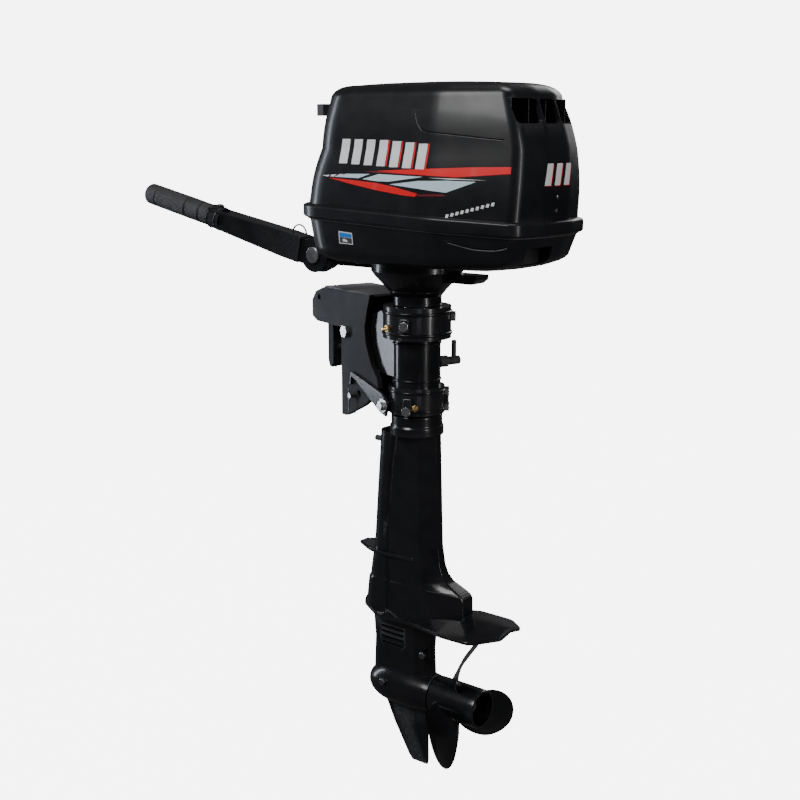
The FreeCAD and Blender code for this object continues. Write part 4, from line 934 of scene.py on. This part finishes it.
class OUTBOARD_OT_gearcase(bpy.types.Operator):
    """Gearcase: head, anti-ventilation plate, strut, bullet and skeg in one casting"""
    bl_idname = "outboard.gearcase"
    bl_label = "Gearcase"

    def execute(self, context):
        foot = height("gearcase")
        plate = foot - 36
        shaft = PROP_Z
        head = [LEG_FOOT + (foot,), (-78.5, 38, 87, 25, 12.5, foot - 4), (-79.5, 40, 89.5, 24.8, 13, foot - 9),
                (-82, 40, 90, 24.5, 13, foot - 30), (-83.5, 42, 86, 25.5, 14, plate - 12),
                (-82, 42, 80, 24, 13, plate - 17), (-76, 40, 72, 20, 11, plate - 21)]
        case = skinned_piece("gearcase_casting", foil_run(head, 3))
        combined(case, [flute(sign, foot + 5, plate - 13, 25, 25) for sign in (-1, 1)])
        strut = [(-74, 8, 35, 18, 6, plate - 5), (-70, 8, 31, 15, 5, shaft + 66), (-72, 8, 33, 16, 6, shaft + 8)]
        joins = [skinned_piece("strut", foil_run(strut, 4)),
                 skinned_piece("plate", [plate_ring(scale, drop) for scale, drop in PLATE_RINGS])]
        rings = []
        skeg = [(-58, 24, 5, shaft - 20), (-38, 22, 4, shaft - 62), (-12, 23, 2.8, shaft - 106),
                (-6, 22, 2.2, shaft - 113)]
        for nose, tail, half, up in skeg:
            points = [(nose, -half), (tail, -half), (tail, half), (nose, half)]
            rings.append([Vector((point.x, point.y, up))
                          for point in rounded_outline(points, [half * 0.9] * 4, 4, 4)])
        joins.append(skinned_piece("skeg", rings))
        profile = spread_route([(along, radius, 0) for along, radius in TORPEDO], 3)
        joins.append(turned_piece("bullet", [(point.x, point.y) for point in profile], "x", 72, (0, 0, shaft)))
        combined(case, joins, "UNION")
        tools = []
        for step in range(SLOTS):
            level = plate - SLOT_PITCH * step
            slot = rounded_block("slot", (-52, -40, level - 40), (-10, 40, level - 37), 1.2, 2)
            inner = bmesh.new()
            block(inner, (-60, -11.5, level - 46), (0, 11.5, level - 31))
            combined(slot, [mesh_object("slot_core", inner, MOTOR)])
            tools.append(slot)
        tools.append(turned_piece("shaft_room", [(14, 22), (60, 22)], "x", 64, (0, 0, shaft)))
        combined(case, tools)
        dress(case, "motor", "grey_casting", "black_paint", ("gearcase",), 1.3, 3, 30)
        return {"FINISHED"}


# ------------------------------------------------------------------ propeller
# Radius, chord, thickness and sweep of the blade's sections
BLADE = [(18, 36, 8.5, 0), (30, 50, 7.2, 0), (45, 64, 5.6, 0), (60, 73, 4.6, 1), (74, 74, 3.8, 2),
         (85, 66, 3.0, 3), (92, 52, 2.5, 3), (97, 33, 2.0, 3), (99.3, 14, 1.6, 3)]
RAKE_FOOT = 66
RAKE_RISE = 42


def blade_ring(radius, chord, thick, sweep, turn):
    """Lens-shaped section of a blade at one radius, wrapped on its cylinder and raked aft."""
    pitch = math.atan(sizes().pitch / (2 * math.pi * radius))
    rake = RAKE_FOOT + RAKE_RISE * (radius / 100) ** 2
    shares = [math.cos(math.pi * step / 10) / 2 for step in range(21)]
    ring = []
    for index, share in enumerate(shares[:-1]):
        side = 1 if index <= 10 else -1
        depth = side * thick / 2 * math.sqrt(max(0.0, 1 - (2 * share) ** 2)) ** 1.3
        along = share * chord + sweep
        aft = rake - along * math.sin(pitch) + depth * math.cos(pitch)
        around = (along * math.cos(pitch) + depth * math.sin(pitch)) / max(radius, 20) + turn
        ring.append(Vector((aft, radius * math.sin(around), PROP_Z + radius * math.cos(around))))
    return ring


class OUTBOARD_OT_propeller(bpy.types.Operator):
    """Propeller with its swept blades and hollow hub"""
    bl_idname = "outboard.propeller"
    bl_label = "Propeller"

    def execute(self, context):
        centre = (0, 0, PROP_Z)
        profile = [(38.6, 26.2), (39.6, 27.2), (42, 27.5), (60, 27.5), (104, 27.3), (114.6, 26.9), (116, 25.9)]
        hub = turned_piece("propeller_finished", profile, "x", 72, centre)
        joins = []
        for index in range(sizes().blades):
            turn = 2 * math.pi * index / sizes().blades
            joins.append(skinned_piece(f"blade{index}", [blade_ring(*station, turn)
                                                         for station in spread_stations(BLADE, 3)]))
        combined(hub, joins, "UNION")
        outlet = turned_piece("outlet", [(77, 20.5), (79, 22.6), (122, 23.6)], "x", 64, centre)
        combined(hub, [outlet, turned_piece("bore", [(30, 8.05), (90, 8.05)], "x", 32, centre)])
        dress(hub, "propeller", "propeller_paint", "black_paint", ("propeller",), 1.1, 3, 34)
        washer = turned_piece("thrust_washer", [(80, 12.5), (80.2, 13), (82, 13), (82.3, 12.5)], "x", 40, centre)
        dress(washer, "propeller", "steel", "bright_steel", (), 0.2)
        return {"FINISHED"}


def spread_stations(stations, steps):
    """Stations with more between them on a smooth curve."""
    made = []
    for index in range(len(stations) - 1):
        before = stations[max(index - 1, 0)]
        start, finish = stations[index], stations[index + 1]
        after = stations[min(index + 2, len(stations) - 1)]
        for step in range(steps):
            t = step / steps
            made.append(tuple(0.5 * (2 * b + (c - a) * t + (2 * a - 5 * b + 4 * c - d) * t * t
                                     + (3 * b - a - 3 * c + d) * t ** 3)
                              for a, b, c, d in zip(before, start, finish, after)))
    made.append(stations[-1])
    return made


# --------------------------------------------------------------------- tiller
TILLER_RISE = math.degrees(math.asin(JOINTS["throttle_twist"]["axis"][2]))
TILLER_PIVOT = (-150, -28, 106)
FLUTE_CIRCLE = 17.0
TILLER = (MOTOR @ Matrix.Translation(TILLER_PIVOT)
          @ Matrix.Rotation(math.radians(TILLER_RISE), 4, "Y"))


class OUTBOARD_OT_tiller(bpy.types.Operator):
    """Tiller: arm, twist grip and hinge"""
    bl_idname = "outboard.tiller"
    bl_label = "Tiller"

    def execute(self, context):
        refine("tiller_arm", "black_paint", 2.2)
        refine("tiller_bracket", "black_paint", 1.2)
        refine("arm_wire_loop", "black_plastic", 0)
        start, end = -216.4, -356
        profile = [(start, 9.2), (start, 14.4), (start - 1.6, 16), (-232, 16), (-233, 14.8), (-236, 14.8),
                   (-237, 16), (-262, 16.2), (-263, 15.0), (-266, 15.0), (-267, 16.2), (-330, 16), (-331, 15.2),
                   (-333, 15.2), (-334, 16), (end + 3, 15.8), (end + 1, 14.6), (end, 12.5), (end - 0.4, 1)]
        grip = turned_piece("grip_sleeve", profile, "x", 72, matrix=TILLER)
        flutes = bmesh.new()
        for index in range(sizes().grip_rings):
            angle = 2 * math.pi * index / sizes().grip_rings
            spot = Vector((0, FLUTE_CIRCLE * math.cos(angle), FLUTE_CIRCLE * math.sin(angle)))
            tube(flutes, [spot + Vector((-272, 0, 0)), spot + Vector((-326, 0, 0))], 1.35, 8)
        combined(grip, [mesh_object("flutes", flutes, TILLER)])
        dress(grip, "grip", "rubber", "grip_rubber", ("twist_grip",), 0.5, 2, 30)
        boss = turned_piece("collar_boss", [(12, 5.2), (19.4, 5.0), (20.4, 4.2), (20.6, 1)], "z", 28, (-203, 0, 0),
                            TILLER)
        dress(boss, "tiller", "bracket_casting", "black_paint", (), 0.6)
        bm = bmesh.new()
        for along in (-196, -212):
            turned(bm, [(along, 17), (along - 0.6, 17.8), (along - 2.4, 17.8), (along - 3, 17)], "x", 64)
        dress(mesh_object("collar_rings", bm, TILLER), "tiller", "bracket_casting", "black_paint", (), 0.4)
        return {"FINISHED"}


# ------------------------------------------------------- clamp, swivel, engine
FASTENER_EDGE = 0.45
ENGINE_EDGE = 2.0


class OUTBOARD_OT_brackets(bpy.types.Operator):
    """Clamp bracket, swivel bracket, yokes and their fastenings"""
    bl_idname = "outboard.brackets"
    bl_label = "Brackets"

    def execute(self, context):
        refine("clamp_bracket", "satin_paint", sizes().bevel)
        crest = height("clamp_bracket")
        # Lighter grey face laid over the clamp's top: painted sheen of the light on its rough cast top, with two
        # grooves cut across it
        bm = bmesh.new()
        block(bm, (-50, -38.5, crest - 3), (78, 38.5, crest + 0.4))
        sheen_face = mesh_object("clamp_top_face", bm, ROW)
        grooves = bmesh.new()
        for shift in (0, 7):
            tube(grooves, [Vector((-60, -17 - shift, crest + 0.6)), Vector((90, -47 - shift, crest + 0.6))], 1.3)
        combined(sheen_face, [mesh_object("clamp_top_grooves", grooves, ROW)])
        dress(sheen_face, "clamp", "bracket_casting", "bare_casting", (), 0.3)
        refine("swivel_bracket", "black_paint", sizes().bevel)
        refine("engine_bracket", "black_paint", 1.6)
        refine("lower_yoke", "black_paint", 1.0)
        refine("clamp_screw", "bright_steel", 0.6)
        refine("clamp_pad", "bright_steel", 0.8)
        for node in ("tilt_pivot_bolt", "tilt_angle_pin", "ring_bolts", "lock_pivot_bolt", "tiller_pivot_bolt",
                     "castle_nut"):
            refine(node, "bright_steel", FASTENER_EDGE)
        refine("gearcase_bolts", "dark_steel", 0.6)
        refine("reverse_lock_hook", "black_paint", 0.5)
        refine("grease_nipples", "yellow_brass", 0.4)
        refine("friction_lever", "black_plastic", 0.9)
        axis = PIVOT.x / MM
        top = height("swivel_bracket")
        bottom = height("swivel_bracket", False)
        bands = bmesh.new()
        for level, radius, half in ((top - 8, 46, 2.2), (top - 36, 46, 2.2), (bottom + 6, 38, 1.8),
                                    (bottom + 31, 38, 1.8), (bottom + 46, 32, 1.6), (bottom + 96, 32, 1.6)):
            profile = [(level - half, radius - 1), (level - half, radius + 0.7), (level - half + 1, radius + 1.6),
                       (level + half - 1, radius + 1.6), (level + half, radius + 0.7), (level + half, radius - 1)]
            turned(bands, profile, "z", 72, (axis, 0, 0))
        dress(mesh_object("swivel_bands", bands, ROW), "swivel", "bracket_casting", "black_paint", (), 0.4)
        ears = bmesh.new()
        for level, radius, turn in ((top - 22, 47, -52), (bottom + 16, 39, -50), (bottom + 16, 39, 60)):
            angle = math.radians(turn)
            spot = Vector((axis + radius * math.cos(angle), radius * math.sin(angle), level))
            made = bmesh.ops.create_cube(ears, size=1)["verts"]
            bmesh.ops.scale(ears, vec=(9, 12, 19), verts=made)
            bmesh.ops.rotate(ears, matrix=Matrix.Rotation(angle, 3, "Z"), verts=made)
            bmesh.ops.translate(ears, vec=spot, verts=made)
        dress(mesh_object("swivel_ears", ears, ROW), "swivel", "bracket_casting", "black_paint", (), 2.0)
        return {"FINISHED"}


class OUTBOARD_OT_controls(bpy.types.Operator):
    """Starter handle, latch and the small controls on the pan"""
    bl_idname = "outboard.controls"
    bl_label = "Controls"

    def execute(self, context):
        for node, finish, edge in (("starter_handle", "black_plastic", 2.2), ("choke_knob", "black_plastic", 1.5),
                                   ("stop_button", "signal_red", 1.5), ("fuel_tap_lever", "black_plastic", 1.2),
                                   ("cowl_latch", "dark_steel", 0.8), ("telltale_nozzle", "black_plastic", 0.6)):
            refine(node, finish, edge)
        return {"FINISHED"}


INNER_FINISHES = {
    "black_plastic": ("pump_housing", "starter_cover", "starter_pulley", "steering_bushes", "tank_cap",
                      "ignition_coil", "cowl_seal", "pump_impeller"),
    "bright_steel": ("steering_tube", "shaft_bearings", "drive_shaft", "pinion_gear", "propeller_shaft",
                     "bevel_gear", "crankshaft"),
    "dark_steel": ("clutch_shoes", "clutch_drum", "muffler", "flywheel"),
    "raw_aluminium": ("crankcase", "cylinder", "piston", "cylinder_head", "rocker_cover", "carburettor",
                      "bearing_carrier"),
    "yellow_brass": ("water_tube",),
    "milky_tank": ("fuel_tank",),
    "glazed_white": ("spark_plug",),
}


class OUTBOARD_OT_engine(bpy.types.Operator):
    """Finishes of the engine and drive pieces, and rounded edges on the largest"""
    bl_idname = "outboard.engine"
    bl_label = "Engine"

    def execute(self, context):
        for node in ("cylinder_head", "rocker_cover", "fuel_tank", "ignition_coil", "muffler", "crankcase"):
            finish = next(name for name, nodes in INNER_FINISHES.items() if node in nodes)
            refine(node, finish, ENGINE_EDGE)
        for finish, nodes in INNER_FINISHES.items():
            for node in nodes:
                made = frame["nodes"][node]
                made.data.materials.clear()
                made.data.materials.append(finish_material(finish))
        return {"FINISHED"}


# ---------------------------------------------------------------------- stage
AZIMUTH = 58.5
DOWN = 12.0
CAMERA_SPOT = (1.5519, -0.8923, 0.2692)
LENS = 56.25
SENSOR = 36
FLOOR_SIZE = 12
FLOOR_GAP = 0.001
# Strength of the surroundings where the camera sees them, and as they light the motor
BACKDROP = 6.5
SURROUND = 0.06


def floor_material():
    """Pale floor that looks as bright as the surroundings."""
    material = bpy.data.materials.new("pale_floor")
    material.use_nodes = True
    tree = material.node_tree
    shader = tree.nodes["Principled BSDF"]
    shader.inputs["Base Color"].default_value = (0.10, 0.10, 0.10, 1)
    shader.inputs["Roughness"].default_value = 0.9
    shader.inputs["Specular IOR Level"].default_value = 0.0
    shader.inputs["Emission Color"].default_value = (1, 1, 1, 1)
    seen = tree.nodes.new("ShaderNodeLightPath").outputs["Is Camera Ray"]
    tree.links.new(math_node(tree, "MULTIPLY", seen, BACKDROP), shader.inputs["Emission Strength"])
    return material


def soft_light(name, spot, target, width, tall, power, colour=(1, 1, 1)):
    lamp = bpy.data.lights.new(name, "AREA")
    lamp.shape = "RECTANGLE"
    lamp.size = width
    lamp.size_y = tall
    lamp.energy = power
    lamp.color = colour
    made = bpy.data.objects.new(name, lamp)
    bpy.context.collection.objects.link(made)
    made.location = spot
    made.rotation_euler = (Vector(target) - Vector(spot)).to_track_quat("-Z", "Y").to_euler()


class OUTBOARD_OT_stage(bpy.types.Operator):
    """Pale floor, soft lights, surroundings and camera"""
    bl_idname = "outboard.stage"
    bl_label = "Stage"

    def execute(self, context):
        low, high = CAD_BOX
        bm = bmesh.new()
        bmesh.ops.create_grid(bm, x_segments=2, y_segments=2, size=FLOOR_SIZE)
        floor = mesh_object("floor", bm, Matrix.Translation((0, 0, low[2] - FLOOR_GAP)))
        floor.data.materials.append(floor_material())
        world = bpy.data.worlds.new("studio")
        context.scene.world = world
        world.use_nodes = True
        tree = world.node_tree
        sky = tree.nodes["Background"]
        seen = tree.nodes.new("ShaderNodeLightPath").outputs["Is Camera Ray"]
        strength = math_node(tree, "ADD", math_node(tree, "MULTIPLY", seen, BACKDROP - SURROUND), SURROUND)
        tree.links.new(strength, sky.inputs["Strength"])
        sky.inputs["Color"].default_value = (1, 1, 1, 1)
        middle = (Vector(low) + Vector(high)) / 2
        soft_light("key", (0.5, -2.4, 1.9), middle, 1.2, 1.2, 62)
        soft_light("streak_right", (2.7, 0.55, 0.5), middle, 0.22, 1.9, 26)
        soft_light("streak_left", (-2.0, -1.45, 0.3), middle, 0.35, 1.9, 26, (0.80, 0.86, 1.0))
        soft_light("top", (0.3, 0.1, 2.4), middle, 0.9, 0.9, 24)
        soft_light("rim", (-1.2, 2.4, 1.0), middle, 1.0, 1.6, 16)
        camera = bpy.data.objects.new("camera", bpy.data.cameras.new("camera"))
        context.collection.objects.link(camera)
        camera.data.sensor_width = SENSOR
        camera.data.lens = LENS
        camera.location = CAMERA_SPOT
        camera.rotation_euler = (math.radians(90 - DOWN), 0, math.radians(AZIMUTH))
        context.scene.camera = camera
        return {"FINISHED"}


# ------------------------------------------------------------------- add-on
STEPS = ("stage", "cowl", "pan", "decals", "leg", "gearcase", "propeller", "tiller", "brackets", "controls",
         "engine")


class OUTBOARD_PT_panel(bpy.types.Panel):
    """Lists the pieces and the values behind them"""
    bl_label = "Outboard Motor"
    bl_idname = "OUTBOARD_PT_panel"
    bl_space_type = "VIEW_3D"
    bl_region_type = "UI"
    bl_category = "Outboard"

    def draw(self, context):
        layout = self.layout
        for group in (context.scene.outboard_sizes, context.scene.outboard_colours):
            for name in group.bl_rna.properties.keys():
                if name not in ("rna_type", "name"):
                    layout.prop(group, name)
        for step in STEPS:
            layout.operator(f"outboard.{step}")


CLASSES = (OutboardSizes, OutboardColours, OUTBOARD_OT_cowl, OUTBOARD_OT_decals, OUTBOARD_OT_pan,
           OUTBOARD_OT_leg, OUTBOARD_OT_gearcase, OUTBOARD_OT_propeller, OUTBOARD_OT_tiller, OUTBOARD_OT_brackets,
           OUTBOARD_OT_controls, OUTBOARD_OT_engine, OUTBOARD_OT_stage, OUTBOARD_PT_panel)


def register():
    for made in CLASSES:
        bpy.utils.register_class(made)
    bpy.types.Scene.outboard_sizes = PointerProperty(type=OutboardSizes)
    bpy.types.Scene.outboard_colours = PointerProperty(type=OutboardColours)


def unregister():
    del bpy.types.Scene.outboard_colours
    del bpy.types.Scene.outboard_sizes
    for made in reversed(CLASSES):
        bpy.utils.unregister_class(made)


def main():
    register()
    for step in STEPS:
        getattr(bpy.ops.outboard, step)()
    bpy.context.view_layer.update()


if __name__ == "__main__":
    main()
